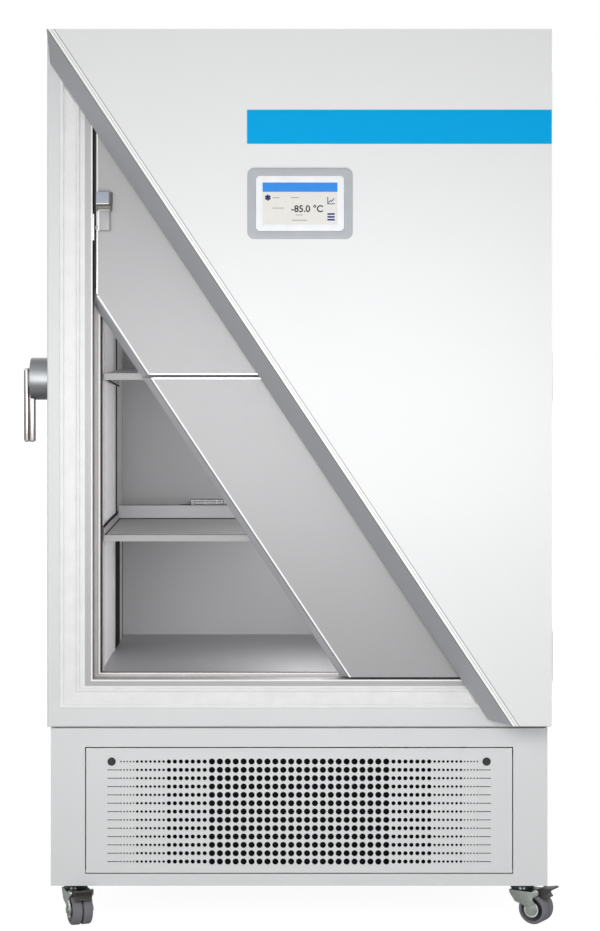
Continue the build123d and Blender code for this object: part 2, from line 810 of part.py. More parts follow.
def base_front_frame():
    """Painted front of the base with the grille's opening, its folded returns and hinge pins."""
    mouth = grille.grown(grille_gap)
    y1 = y_case + base_sheet
    depth = filter_set + filter_thickness
    front = Opening(base_half, ride_height, base_top).prism(y_case, y1) - mouth.prism(y_case, y1)
    box = mouth.grown(base_sheet)
    returns = block(-box.half, box.half, y1, y_case + depth, box.low, mouth.high - 12.0)
    returns -= block(-mouth.half, mouth.half, y1, y_case + depth, mouth.low, mouth.high)
    front += returns
    for side in (-1, 1):
        inner = side * (grille.half - grille_flange)
        outer = side * mouth.half
        front += rod((inner, grille_axis_y, grille_axis_z), (outer, grille_axis_y, grille_axis_z),
                     grille_pin_radius)
        x0 = side * lock_x - 18.0
        x1 = side * lock_x + 18.0
        y_plate = y_case + lock_bracket_set
        bracket = block(x0, x1, y_plate, y_plate + base_sheet, lock_z - 14.0, mouth.high + 16.0)
        bracket += block(x0, x1, y1, y_plate, mouth.high + 16.0 - base_sheet, mouth.high + 16.0)
        wide, _, tall = lock_wing
        bracket -= block(side * lock_x - wide / 2 - 2.0, side * lock_x + wide / 2 + 2.0, y_plate,
                         y_plate + base_sheet, lock_z - tall / 2 - 3.0, lock_z + tall / 2 + 3.0)
        front += bracket
    return front


def grille_slots():
    """The short slots at both ends of each row, left out where a lock sits."""
    slots = []
    for side in (-1, 1):
        for row in range(grille_rows - 1):
            x = side * (grille.half - slot_inset - slot_length / 2)
            z = grille_row_low + row * grille_row_pitch
            slots.append(Pos(x, z) * Rectangle(slot_length, slot_height))
    return slots


def grille_panel():
    """Flush perforated panel with folded side and bottom edges, pivoted at its foot."""
    middle_z = (grille.low + grille.high) / 2
    sheet = Pos(0, middle_z) * Rectangle(2 * grille.half, grille.high - grille.low)
    holes = [
        Pos(column * hole_pitch, grille_row_low + row * grille_row_pitch)
        * RegularPolygon(hole_diameter / 2, hole_sides)
        for column in range(-(hole_columns // 2), hole_columns // 2 + 1)
        for row in range(grille_rows)
    ]
    locks = [Pos(side * lock_x, lock_z) * round_face(lock_shaft_radius + running_gap) for side in (-1, 1)]
    sheet = sheet - (holes + grille_slots() + locks)
    y1 = y_case + base_sheet
    panel = front_plate(sheet, y_case, y1)
    for side in (-1, 1):
        x0, x1 = sorted((side * grille.half, side * (grille.half - base_sheet)))
        flange = block(x0, x1, y1, y1 + grille_flange, grille.low, grille.high)
        flange -= rod((x0, grille_axis_y, grille_axis_z), (x1, grille_axis_y, grille_axis_z),
                      grille_pin_radius + running_gap)
        panel += flange
    return panel


def grille_lock(side):
    """Quarter-turn fastener: head, square shaft and the wings that pass the bracket's slot."""
    x = side * lock_x
    y_wing = y_case + lock_bracket_set + base_sheet + 1.5
    wide, thick, tall = lock_wing
    lock = rod((x, y_case - lock_head_proud, lock_z), (x, y_case, lock_z), lock_head_radius)
    reach = lock_shaft_radius / math.sqrt(2)
    lock += block(x - reach, x + reach, y_case, y_wing, lock_z - reach, lock_z + reach)
    return lock + block(x - wide / 2, x + wide / 2, y_wing, y_wing + thick,
                        lock_z - tall / 2, lock_z + tall / 2)


def filter_mat():
    """Dust filter that stands in the returns behind the grille."""
    mouth = grille.grown(grille_gap)
    y0 = y_case + filter_set
    return block(-mouth.half, mouth.half, y0, y0 + filter_thickness, mouth.low, mouth.high - 12.0)


def base_rear_cover():
    """Painted back of the base with ventilation slots and the power inlet's opening."""
    cover = Opening(base_half, ride_height, base_top).prism(y_back - base_sheet, y_back)
    slots = []
    long, high = rear_vent
    for row in range(rear_vent_rows):
        z = ride_height + rear_vent_rise + row * rear_vent_pitch
        for column in range(2):
            x = -base_half + rear_vent_inset + column * (long + rear_vent_gap)
            slots.append(block(x, x + long, y_back - base_sheet, y_back, z, z + high))
    wide, _, tall = inlet_size
    half = rocker_size[0] / 2 + 2.0
    rise = rocker_size[2] / 2 + 2.0
    slots.append(block(inlet_x - wide / 2, inlet_x + wide / 2, y_back - base_sheet, y_back,
                       inlet_z - tall / 2, inlet_z + tall / 2))
    slots.append(block(switch_x - half, switch_x + half, y_back - base_sheet, y_back,
                       inlet_z - rise, inlet_z + rise))
    return cover - slots


def power_inlet():
    """Mains inlet with three blades in a recess, set in the rear cover."""
    wide, deep, tall = inlet_size
    x0 = inlet_x - wide / 2
    x1 = inlet_x + wide / 2
    z0 = inlet_z - tall / 2
    z1 = inlet_z + tall / 2
    body = block(x0, x1, y_back - deep, y_back, z0, z1)
    body += block(x0 - 4.0, x1 + 4.0, y_back, y_back + 2.0, z0 - 4.0, z1 + 4.0)
    body -= block(x0 + 6.0, x1 - 6.0, y_back - deep + 5.0, y_back + 2.0, z0 + 4.0, z1 - 4.0)
    for dx, dz in ((-11.0, -3.0), (0.0, 4.0), (11.0, -3.0)):
        body += block(inlet_x + dx - 1.0, inlet_x + dx + 1.0, y_back - deep + 5.0, y_back - 4.0,
                      inlet_z + dz - 3.0, inlet_z + dz + 3.0)
    return body


def power_switch_body():
    """Housing of the mains switch, with the rocker's pivot."""
    half = rocker_size[0] / 2 + 2.0
    rise = rocker_size[2] / 2 + 2.0
    deep = 22.0
    body = block(switch_x - half, switch_x + half, y_back - deep, y_back + 1.5,
                 inlet_z - rise, inlet_z + rise)
    body -= block(switch_x - half + 1.5, switch_x + half - 1.5, y_back - deep + 2.0, y_back + 1.5,
                  inlet_z - rise + 1.5, inlet_z + rise - 1.5)
    y = y_back - rocker_size[1] / 2
    return body + rod((switch_x - half + 0.5, y, inlet_z), (switch_x + half - 0.5, y, inlet_z), 1.5)


def power_rocker():
    """Rocker of the mains switch."""
    wide, deep, tall = rocker_size
    y = y_back - deep / 2
    points = [(y_back + 3.0, inlet_z + tall / 2 - 1.5), (y_back + 0.6, inlet_z),
              (y_back + 3.0, inlet_z - tall / 2 + 1.5),
              (y_back - deep, inlet_z - 6.0), (y_back - deep, inlet_z + 6.0)]
    rocker = side_plate(points, switch_x - wide / 2, switch_x + wide / 2)
    return rocker - rod((switch_x - wide, y, inlet_z), (switch_x + wide, y, inlet_z), 1.5 + running_gap)


def condenser():
    """Air-cooled condenser: a pack of plate fins between two end plates."""
    x1 = condenser_left + condenser_width
    y0 = y_case + condenser_set
    y1 = y0 + condenser_depth
    core = block(condenser_left, x1, y0, y1, tray_top, condenser_top)
    pitch = (condenser_width - 2 * fin_gap) / condenser_fins
    gaps = [
        block(x, x + fin_gap, y0, y0 + condenser_depth * 0.45, tray_top + 30.0, condenser_top - 12.0)
        for x in (condenser_left + fin_gap + pitch * index for index in range(condenser_fins))
    ]
    return core - gaps


def fan_centre():
    """Where the fan's shaft crosses the shroud."""
    return condenser_left + condenser_width / 2, (tray_top + condenser_top) / 2


def fan_shroud():
    """Sheet box behind the condenser with the fan's round mouth and the motor's bracket."""
    x1 = condenser_left + condenser_width
    y0 = y_case + condenser_set + condenser_depth
    y1 = y0 + shroud_depth
    fan_x, fan_z = fan_centre()
    box = block(condenser_left, x1, y0, y1, tray_top, condenser_top)
    box -= block(condenser_left + base_sheet, x1 - base_sheet, y0, y1 - base_sheet,
                 tray_top + base_sheet, condenser_top - base_sheet)
    box -= rod((fan_x, y0, fan_z), (fan_x, y1, fan_z), fan_radius + fan_tip_gap)
    y_motor = y1 + fan_bracket_set
    reach = fan_radius + fan_tip_gap + 12.0
    bar = block(fan_x - reach, fan_x + reach, y_motor - 3.0, y_motor, fan_z - 14.0, fan_z + 14.0)
    for side in (-1, 1):
        x0, xe = sorted((fan_x + side * reach, fan_x + side * (reach - 3.0)))
        bar += block(x0, xe, y1, y_motor, fan_z - 14.0, fan_z + 14.0)
    bar -= rod((fan_x, y1, fan_z), (fan_x, y_motor, fan_z), fan_shaft_radius + 4.0)
    return box + bar


def fan_motor():
    """Fan motor on the shroud's bracket, with its shaft."""
    fan_x, fan_z = fan_centre()
    y_front = y_case + condenser_set + condenser_depth + shroud_depth + fan_bracket_set
    motor = rod((fan_x, y_front, fan_z), (fan_x, y_front + fan_motor_length, fan_z), fan_motor_radius)
    return motor + rod((fan_x, y_front - fan_shaft_lead, fan_z), (fan_x, y_front, fan_z), fan_shaft_radius)


def fan_wheel():
    """Five flat blades pitched on a hub."""
    fan_x, fan_z = fan_centre()
    y_hub = y_case + condenser_set + condenser_depth + shroud_depth + fan_hub_gap
    y_end = y_hub + fan_hub_depth
    wheel = front_plate(Pos(fan_x, fan_z) * RegularPolygon(fan_hub_radius, 2 * fan_blades), y_hub, y_end)
    root = fan_hub_radius * 0.75
    reach = fan_radius - root
    for index in range(fan_blades):
        flat = Rot(fan_blade_pitch, 0, 0) * Box(reach, fan_blade_thickness, fan_blade_width)
        blade = Rot(0, 360.0 / fan_blades * index, 0) * (Pos(root + reach / 2, 0, 0) * flat)
        wheel += Pos(fan_x, (y_hub + y_end) / 2, fan_z) * blade
    bore = rod((fan_x, y_hub, fan_z), (fan_x, y_end, fan_z), fan_shaft_radius + running_gap)
    return wheel - bore


def compressor(place):
    """Welded compressor can on its foot plate, with the terminal cover."""
    x, y = place
    z0 = tray_top + grommet_height
    z1 = z0 + compressor_height
    can = rod((x, y, z0), (x, y, z1), compressor_radius)
    can = chamfer(can.edges().group_by(Axis.Z)[-1], compressor_crown)
    foot = block(x - compressor_feet - 16.0, x + compressor_feet + 16.0, y - compressor_feet - 16.0,
                 y + compressor_feet + 16.0, z0, z0 + 3.0)
    box = block(x - 30.0, x + 30.0, y - compressor_radius - 22.0, y - compressor_radius + 20.0,
                z0 + 70.0, z0 + 130.0)
    return can + foot + box


def compressor_grommets():
    """Rubber mounts under the compressors' feet."""
    grommets = []
    for x, y in compressor_places.values():
        for dx in (-compressor_feet, compressor_feet):
            for dy in (-compressor_feet, compressor_feet):
                grommets.append(block(x + dx - grommet_half, x + dx + grommet_half, y + dy - grommet_half,
                                      y + dy + grommet_half, tray_top, tray_top + grommet_height))
    return grommets


def interstage_exchanger():
    """Brazed plate heat exchanger that cools the low stage with the high stage."""
    wide, deep, tall = exchanger_size
    x, y = exchanger_place
    return block(x - wide / 2, x + wide / 2, y - deep / 2, y + deep / 2, tray_top, tray_top + tall)


def refrigerant_pipes():
    """Copper lines: high stage to condenser, and low stage to the exchanger, with mitred elbows."""
    high_x, high_y = compressor_places["high_stage"]
    low_x, low_y = compressor_places["low_stage"]
    z = tray_top + grommet_height + pipe_port_height
    y_condenser = y_case + condenser_set + condenser_depth / 2
    x_condenser = condenser_left + condenser_width
    x_run = x_condenser + pipe_elbow + 10.0
    exchanger_x, exchanger_y = exchanger_place
    y_exchanger = exchanger_y + exchanger_size[1] / 2
    lines = [
        [(high_x + compressor_radius, high_y, z), (x_run - pipe_elbow, high_y, z),
         (x_run, high_y - pipe_elbow, z), (x_run, y_condenser + pipe_elbow, z),
         (x_run - pipe_elbow, y_condenser, z), (x_condenser, y_condenser, z)],
        [(low_x + compressor_radius, low_y, z), (exchanger_x - pipe_elbow, low_y, z),
         (exchanger_x, low_y - pipe_elbow, z), (exchanger_x, y_exchanger, z)],
    ]
    pipes = []
    for points in lines:
        path = Polyline(*points)
        section = Plane(origin=path @ 0, z_dir=path % 0) * RegularPolygon(pipe_radius, pipe_sides)
        pipes.append(sweep(section, path=path, transition=Transition.RIGHT))
    return pipes


def electrics_box():
    """Sheet box for the controls, screwed to the base floor, with its lid."""
    wide, deep, tall = electrics_size
    x0 = electrics_left
    y1 = y_back - electrics_inset[1]
    y0 = y1 - deep
    box = block(x0, x0 + wide, y0, y1, tray_top, tray_top + tall)
    sheet = electrics_sheet
    box -= block(x0 + sheet, x0 + wide - sheet, y0 + sheet, y1 - sheet, tray_top + sheet, tray_top + tall)
    lid = block(x0, x0 + wide, y0, y1, tray_top + tall, tray_top + tall + sheet)
    return [box, lid]


def castor_places():
    """Name, X and Y of each castor's swivel axis."""
    x = base_half - castor_side_inset
    y_front = y_case + castor_front_inset
    y_end = y_back - castor_front_inset
    return {
        "front_left": (-x, y_front),
        "front_right": (x, y_front),
        "rear_left": (-x, y_end),
        "rear_right": (x, y_end),
    }


def castor_plates():
    """Top plates bolted under the base, each with the swivel race that its fork turns under."""
    wide, deep, thick = castor_plate
    z0 = ride_height - thick
    return [
        block(x - wide / 2, x + wide / 2, y - deep / 2, y + deep / 2, z0, ride_height)
        + rod((x, y, crown_high), (x, y, z0), swivel_radius)
        for x, y in castor_places().values()
    ]


def pedal_pivot():
    """Depth and height of the brake pedal's pivot, about the swivel axis."""
    return -castor_trail - 12.0, crown_low - 6.0


def castor_fork(braked):
    """Pressed fork with its axle, wheel towards the front."""
    axle_y = -castor_trail
    pivot_y, pivot_z = pedal_pivot()
    outline = [(14.0, crown_high), (14.0, crown_low - 4.0), (2.0, crown_low - 24.0),
               (axle_y + 12.0, wheel_radius + 2.0), (axle_y, wheel_radius - 10.0),
               (axle_y - 10.0, wheel_radius + 4.0), (axle_y - 3.0, wheel_radius + 16.0),
               (axle_y - 10.0, wheel_radius + 28.0),
               (pivot_y - 10.0, pivot_z + 4.0), (pivot_y - 10.0, crown_high)]
    fork = block(-fork_half, fork_half, axle_y - 6.0, 14.0, crown_low, crown_high)
    for side in (-1, 1):
        x0, x1 = sorted((side * fork_half, side * (fork_half - fork_leg)))
        fork += side_plate(outline, x0, x1)
        outside = Plane(origin=(side * fork_half, axle_y, wheel_radius), z_dir=(side, 0, 0))
        fork += extrude(outside * RegularPolygon(axle_nut, 6), amount=fork_leg)
    fork += rod((-fork_half, axle_y, wheel_radius), (fork_half, axle_y, wheel_radius), axle_radius)
    if braked:
        fork += rod((-fork_half, pivot_y, pivot_z), (fork_half, pivot_y, pivot_z), pedal_pin_radius)
    return fork


def castor_wheel():
    """Wheel bored for the axle."""
    left, right = ((side * wheel_half, -castor_trail, wheel_radius) for side in (-1, 1))
    return rod(left, right, wheel_radius) - rod(left, right, axle_radius + running_gap)


def brake_pedal():
    """Brake pedal over the wheel, with its toe tab and shoe."""
    pivot_y, pivot_z = pedal_pivot()
    half = pedal_half
    tip = pivot_y - pedal_reach
    points = [(pivot_y + 4.0, pivot_z + 5.0), (tip + 4.0, pivot_z + 12.0), (tip, pivot_z + 11.0),
              (tip, pivot_z + 8.0), (tip + 16.0, pivot_z + 4.0), (tip + 19.0, pivot_z - 5.0),
              (tip + 13.0, pivot_z - 12.0), (tip + 15.0, pivot_z - 14.0), (tip + 24.0, pivot_z - 9.0),
              (pivot_y + 4.0, pivot_z - 5.0)]
    pivot = rod((-half, pivot_y, pivot_z), (half, pivot_y, pivot_z), pedal_pin_radius + running_gap)
    return side_plate(points, -half, half) - pivot


def castors():
    """Fork, wheel and, at the front, brake pedal of each castor by name."""
    parts = {}
    for name, (x, y) in castor_places().items():
        place = Pos(x, y, 0) * Rot(0, 0, castor_angles[name])
        braked = name.startswith("front")
        parts[f"castor_fork_{name}"] = place * castor_fork(braked)
        parts[f"castor_wheel_{name}"] = place * castor_wheel()
        if braked:
            parts[f"brake_pedal_{name}"] = place * brake_pedal()
    return parts


def cabinet_parts():
    """Everything fixed to the cabinet, by name."""
    return {
        "cabinet_shell": cabinet_shell(),
        "cabinet_foam": cabinet_foam(),
        "cabinet_liner": cabinet_liner(),
        "breaker_frame": breaker_frame(),
        "evaporator_coil": evaporator_coil(),
        "rear_panel": group([rear_panel()] + rear_spacers()),
        "shelves": group(shelves()),
        "shelf_supports": group(shelf_rails() + shelf_clips()),
        "sensor_guard": group([sensor_guard(), temperature_probe()]),
        "handle_boss": handle_boss(),
        "handle_lever": handle_lever(),
    }


def base_parts():
    """Everything in the base, by name."""
    return {
        "base_frame": group([base_frame(), base_tray()]),
        "base_panels": group(base_side_panels() + [base_rear_cover()]),
        "base_front_frame": base_front_frame(),
        "grille_panel": grille_panel(),
        "grille_lock_left": grille_lock(-1),
        "grille_lock_right": grille_lock(1),
        "filter_mat": filter_mat(),
        "power_entry": group([power_inlet(), power_switch_body()]),
        "power_rocker": power_rocker(),
        "condenser": condenser(),
        "fan_mount": group([fan_shroud(), fan_motor()]),
        "fan_wheel": fan_wheel(),
        "compressors": group([compressor(place) for place in compressor_places.values()]),
        "compressor_grommets": group(compressor_grommets()),
        "refrigerant_circuit": group([interstage_exchanger()] + refrigerant_pipes()),
        "electrics_box": group(electrics_box()),
        "castor_plates": group(castor_plates()),
    }


def door_parts():
    """Both kinds of door with their hinges and latch, by name."""
    moving, fixed = outer_hinges()
    upper_moving, upper_fixed = inner_hinges(upper_door)
    lower_moving, lower_fixed = inner_hinges(lower_door)
    housing, plate, strike = inner_latch()
    parts = {**outer_door(), **display_parts()}
    parts |= inner_door("upper", upper_door) | inner_door("lower", lower_door)
    parts |= {
        "outer_hinge_door_leaves": group(moving),
        "outer_hinge_cabinet_leaves": group(fixed),
        "upper_inner_door_fittings": group(upper_moving + [housing]),
        "lower_inner_hinge_leaves": group(lower_moving),
        "inner_door_frame_fittings": group(upper_fixed + lower_fixed + [strike]),
        "inner_latch_plate": plate,
    }
    return parts


def main():
    """Build every sub-part and write one STEP file for each."""
    os.makedirs("parts", exist_ok=True)
    for name, shape in {**cabinet_parts(), **base_parts(), **door_parts(), **castors()}.items():
        export_step(Pos(shift_x, shift_y, 0) * shape, f"parts/{name}.step")


main()
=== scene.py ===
"""Visual model of a sectioned upright laboratory freezer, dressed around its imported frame.

Axes: +X to the right as seen from the front, +Y to the back, +Z up, in metres. The doors face -Y.
"""

from __future__ import annotations

import json
import logging
import math
from dataclasses import dataclass
from enum import Enum
from typing import Iterable, Sequence

import bmesh
import bpy
from mathutils import Matrix, Vector

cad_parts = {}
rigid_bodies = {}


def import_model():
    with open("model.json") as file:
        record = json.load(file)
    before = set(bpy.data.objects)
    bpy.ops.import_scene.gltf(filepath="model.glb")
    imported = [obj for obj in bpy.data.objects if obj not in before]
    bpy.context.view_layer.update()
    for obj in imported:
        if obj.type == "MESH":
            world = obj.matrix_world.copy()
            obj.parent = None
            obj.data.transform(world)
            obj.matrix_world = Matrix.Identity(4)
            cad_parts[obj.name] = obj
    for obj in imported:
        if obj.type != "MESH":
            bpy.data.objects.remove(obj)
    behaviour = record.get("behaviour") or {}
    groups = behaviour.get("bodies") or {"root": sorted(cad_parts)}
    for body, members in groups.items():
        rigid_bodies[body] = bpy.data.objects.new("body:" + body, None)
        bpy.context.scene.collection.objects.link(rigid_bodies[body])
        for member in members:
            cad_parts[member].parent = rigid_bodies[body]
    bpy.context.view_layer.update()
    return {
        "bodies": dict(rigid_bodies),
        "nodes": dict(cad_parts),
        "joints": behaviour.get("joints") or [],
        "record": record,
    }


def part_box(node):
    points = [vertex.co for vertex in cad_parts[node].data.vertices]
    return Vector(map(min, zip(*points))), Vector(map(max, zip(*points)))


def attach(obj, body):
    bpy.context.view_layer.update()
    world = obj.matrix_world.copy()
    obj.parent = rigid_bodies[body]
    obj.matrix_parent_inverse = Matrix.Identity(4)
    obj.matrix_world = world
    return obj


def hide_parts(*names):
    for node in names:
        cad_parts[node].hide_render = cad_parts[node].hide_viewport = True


LOG = logging.getLogger("freezer")
MM = 0.001
FILM = 0.25 * MM

Colour = tuple[float, float, float]
Point = tuple[float, float, float]


# Finishes


class Grain(Enum):
    """Which way a brushed surface's lines run, as the stretch of its pattern along X, Y and Z."""

    ACROSS = (6.0, 900.0, 900.0)
    DEEP = (900.0, 6.0, 900.0)
    UPRIGHT = (900.0, 900.0, 6.0)
    SPECKLE = (420.0, 420.0, 420.0)
    TURNED = (1400.0, 30.0, 30.0)


class Shader:
    """A material's node tree, laid out call by call."""

    def __init__(self, name: str, colour: Colour, roughness: float, metallic: float = 0.0) -> None:
        """Start a material.

        Args:
            name: The material's name.
            colour: Linear base colour.
            roughness: Roughness where no pattern drives it.
            metallic: 1 for bare metal.
        """
        self.material = bpy.data.materials.new(name)
        self.material.use_nodes = True
        self.nodes = self.material.node_tree.nodes
        self.links = self.material.node_tree.links
        self.surface = self.nodes["Principled BSDF"]
        self.surface.inputs["Base Color"].default_value = (*colour, 1.0)
        self.surface.inputs["Roughness"].default_value = roughness
        self.surface.inputs["Metallic"].default_value = metallic
        self.colour = colour
        self.material.diffuse_color = (*colour, 1.0)

    def place(self, stretch: Point = (1.0, 1.0, 1.0)) -> bpy.types.NodeSocket:
        """Object coordinates, stretched along each axis.

        Args:
            stretch: Scale along X, Y and Z.

        Returns:
            The vector to drive a pattern with.
        """
        source = self.nodes.new("ShaderNodeTexCoord")
        mapping = self.nodes.new("ShaderNodeMapping")
        mapping.inputs["Scale"].default_value = stretch
        self.links.new(source.outputs["Object"], mapping.inputs["Vector"])
        return mapping.outputs["Vector"]

    def noise(self, scale: float, stretch: Point = (1.0, 1.0, 1.0),
              detail: float = 3.0) -> bpy.types.NodeSocket:
        """Cloudy pattern.

        Args:
            scale: Features per metre before the stretch.
            stretch: Scale along X, Y and Z.
            detail: Octaves of finer pattern.

        Returns:
            The pattern's factor.
        """
        node = self.nodes.new("ShaderNodeTexNoise")
        node.inputs["Scale"].default_value = scale
        node.inputs["Detail"].default_value = detail
        self.links.new(self.place(stretch), node.inputs["Vector"])
        return node.outputs["Fac"]

    def cells(self, scale: float) -> bpy.types.NodeSocket:
        """Cell pattern.

        Args:
            scale: Cells per metre.

        Returns:
            Distance to the nearest cell's middle.
        """
        node = self.nodes.new("ShaderNodeTexVoronoi")
        node.inputs["Scale"].default_value = scale
        self.links.new(self.place(), node.inputs["Vector"])
        return node.outputs["Distance"]

    def spread(self, value: bpy.types.NodeSocket, low: float, high: float) -> bpy.types.NodeSocket:
        """Carry a pattern's usual range of 0.3 to 0.7 to other limits.

        Args:
            value: The pattern.
            low: Result at 0.3.
            high: Result at 0.7.

        Returns:
            The new value.
        """
        node = self.nodes.new("ShaderNodeMapRange")
        node.inputs["From Min"].default_value = 0.3
        node.inputs["From Max"].default_value = 0.7
        node.inputs["To Min"].default_value = low
        node.inputs["To Max"].default_value = high
        self.links.new(value, node.inputs["Value"])
        return node.outputs["Result"]

    def vary_colour(self, value: bpy.types.NodeSocket, amount: float) -> None:
        """Let a pattern lighten and darken the base colour.

        Args:
            value: The pattern.
            amount: Largest share of change either way.
        """
        ramp = self.nodes.new("ShaderNodeMix")
        ramp.data_type = "RGBA"
        sockets = [socket for socket in ramp.inputs if socket.type == "RGBA"]
        for socket, factor in zip(sockets, (1.0 - amount, 1.0 + amount)):
            socket.default_value = (*(min(1.0, part * factor) for part in self.colour), 1.0)
        self.links.new(self.spread(value, 0.0, 1.0), ramp.inputs["Factor"])
        result = next(socket for socket in ramp.outputs if socket.type == "RGBA")
        self.links.new(result, self.surface.inputs["Base Color"])

    def shade_bands(self, painted_light_bands: Sequence[tuple[float, float]]) -> None:
        """Scale the base colour by height, which paints shade and highlight into it.

        Args:
            painted_light_bands: Heights in metres from the lowest up, each with the share of the colour kept
                there.
        """
        low, high = painted_light_bands[0][0], painted_light_bands[-1][0]
        split = self.nodes.new("ShaderNodeSeparateXYZ")
        self.links.new(self.place(), split.inputs["Vector"])
        reach = self.nodes.new("ShaderNodeMapRange")
        reach.inputs["From Min"].default_value = low
        reach.inputs["From Max"].default_value = high
        self.links.new(split.outputs["Z"], reach.inputs["Value"])
        ramp = self.nodes.new("ShaderNodeValToRGB")
        stops = ramp.color_ramp.elements
        for stop, (_, share) in zip((stops[0], stops[1]), (painted_light_bands[0], painted_light_bands[-1])):
            stop.color = (share, share, share, 1.0)
        for height, share in painted_light_bands[1:-1]:
            stops.new((height - low) / (high - low)).color = (share, share, share, 1.0)
        self.links.new(reach.outputs["Result"], ramp.inputs["Fac"])
        scaled = self.nodes.new("ShaderNodeMix")
        scaled.data_type = "RGBA"
        scaled.blend_type = "MULTIPLY"
        scaled.inputs["Factor"].default_value = 1.0
        base, share_socket = [socket for socket in scaled.inputs if socket.type == "RGBA"]
        colour = self.surface.inputs["Base Color"]
        self.links.new(colour.links[0].from_socket, base)
        self.links.new(ramp.outputs["Color"], share_socket)
        self.links.new(next(socket for socket in scaled.outputs if socket.type == "RGBA"), colour)

    def vary_roughness(self, value: bpy.types.NodeSocket, low: float, high: float) -> None:
        """Let a pattern drive the roughness between two limits."""
        self.links.new(self.spread(value, low, high), self.surface.inputs["Roughness"])

    def raise_relief(self, value: bpy.types.NodeSocket, depth: float, strength: float) -> None:
        """Give the surface fine relief.

        Args:
            value: The pattern used as height.
            depth: Height of the relief in metres.
            strength: Share of the relief that shows.
        """
        node = self.nodes.new("ShaderNodeBump")
        node.inputs["Strength"].default_value = strength
        node.inputs["Distance"].default_value = depth
        self.links.new(value, node.inputs["Height"])
        self.links.new(node.outputs["Normal"], self.surface.inputs["Normal"])


@dataclass(frozen=True)
class PowderCoat:
    """Sprayed and baked paint with faint orange peel."""

    name: str
    colour: Colour
    roughness: float = 0.4
    peel: float = 0.06
    gloss: float = 0.42

    def material(self) -> bpy.types.Material:
        """Mix the finish.

        Returns:
            The material.
        """
        shader = Shader(self.name, self.colour, self.roughness)
        shader.surface.inputs["Specular IOR Level"].default_value = self.gloss
        shader.vary_colour(shader.noise(2.2), 0.012)
        shader.vary_roughness(shader.noise(260.0), self.roughness - 0.04, self.roughness + 0.05)
        shader.raise_relief(shader.noise(700.0, detail=1.0), 0.12 * MM, self.peel)
        return shader.material


@dataclass(frozen=True)
class BrushedMetal:
    """Bare metal with fine parallel brush lines."""

    name: str
    colour: Colour
    grain: Grain
    roughness: float = 0.32
    contrast: float = 0.05
    metallic: float = 1.0
    # Heights, each with the share of the colour kept there: painted shade and highlight by height.
    painted_light_bands: tuple[tuple[float, float], ...] = ()

    def material(self) -> bpy.types.Material:
        """Mix the finish.

        Returns:
            The material.
        """
        shader = Shader(self.name, self.colour, self.roughness, self.metallic)
        lines = shader.noise(1.0, self.grain.value, detail=4.0)
        shader.vary_colour(lines, self.contrast)
        # Painted shade and highlight by height, where given.
        if self.painted_light_bands:
            shader.shade_bands(self.painted_light_bands)
        shader.vary_roughness(lines, self.roughness - 0.06, self.roughness + 0.08)
        shader.raise_relief(lines, 0.04 * MM, 0.12)
        return shader.material


@dataclass(frozen=True)
class PlatedMetal:
    """Bright plated steel with a faint cloudy bloom."""

    name: str
    colour: Colour
    roughness: float = 0.28

    def material(self) -> bpy.types.Material:
        """Mix the finish.

        Returns:
            The material.
        """
        shader = Shader(self.name, self.colour, self.roughness, metallic=1.0)
        shader.vary_colour(shader.noise(140.0), 0.10)
        shader.vary_roughness(shader.noise(420.0), self.roughness - 0.06, self.roughness + 0.14)
        shader.raise_relief(shader.noise(1500.0), 0.05 * MM, 0.10)
        return shader.material


@dataclass(frozen=True)
class Moulding:
    """Moulded plastic or rubber with a fine grained skin."""

    name: str
    colour: Colour
    roughness: float = 0.45
    texture: float = 0.10
    scale: float = 1800.0

    def material(self) -> bpy.types.Material:
        """Mix the finish.

        Returns:
            The material.
        """
        shader = Shader(self.name, self.colour, self.roughness)
        shader.vary_colour(shader.noise(30.0), 0.03)
        shader.vary_roughness(shader.noise(self.scale / 4), self.roughness - 0.05, self.roughness + 0.06)
        shader.raise_relief(shader.noise(self.scale, detail=2.0), 0.08 * MM, self.texture)
        return shader.material


@dataclass(frozen=True)
class RigidFoam:
    """Cut or poured rigid foam with open cells at the surface."""

    name: str
    colour: Colour

    def material(self) -> bpy.types.Material:
        """Mix the finish.

        Returns:
            The material.
        """
        shader = Shader(self.name, self.colour, 0.9)
        cells = shader.cells(900.0)
        shader.vary_colour(cells, 0.12)
        shader.raise_relief(cells, 0.5 * MM, 0.5)
        return shader.material


@dataclass(frozen=True)
class FibreMat:
    """Open mat of tangled dark fibres."""

    name: str
    colour: Colour

    def material(self) -> bpy.types.Material:
        """Mix the finish.

        Returns:
            The material.
        """
        shader = Shader(self.name, self.colour, 0.95)
        fibres = shader.noise(900.0, (1.0, 1.0, 2.5), detail=6.0)
        shader.vary_colour(fibres, 0.5)
        shader.raise_relief(fibres, 1.0 * MM, 0.8)
        return shader.material


@dataclass(frozen=True)
class LitPane:
    """A lit area of a screen, which glows at about its own colour."""

    name: str
    colour: Colour
    glow: float = 0.55

    def material(self) -> bpy.types.Material:
        """Mix the finish.

        Returns:
            The material.
        """
        shader = Shader(self.name, self.colour, 0.25)
        shader.surface.inputs["Emission Color"].default_value = (*self.colour, 1.0)
        shader.surface.inputs["Emission Strength"].default_value = self.glow
        shader.vary_colour(shader.noise(60.0), 0.02)
        return shader.material


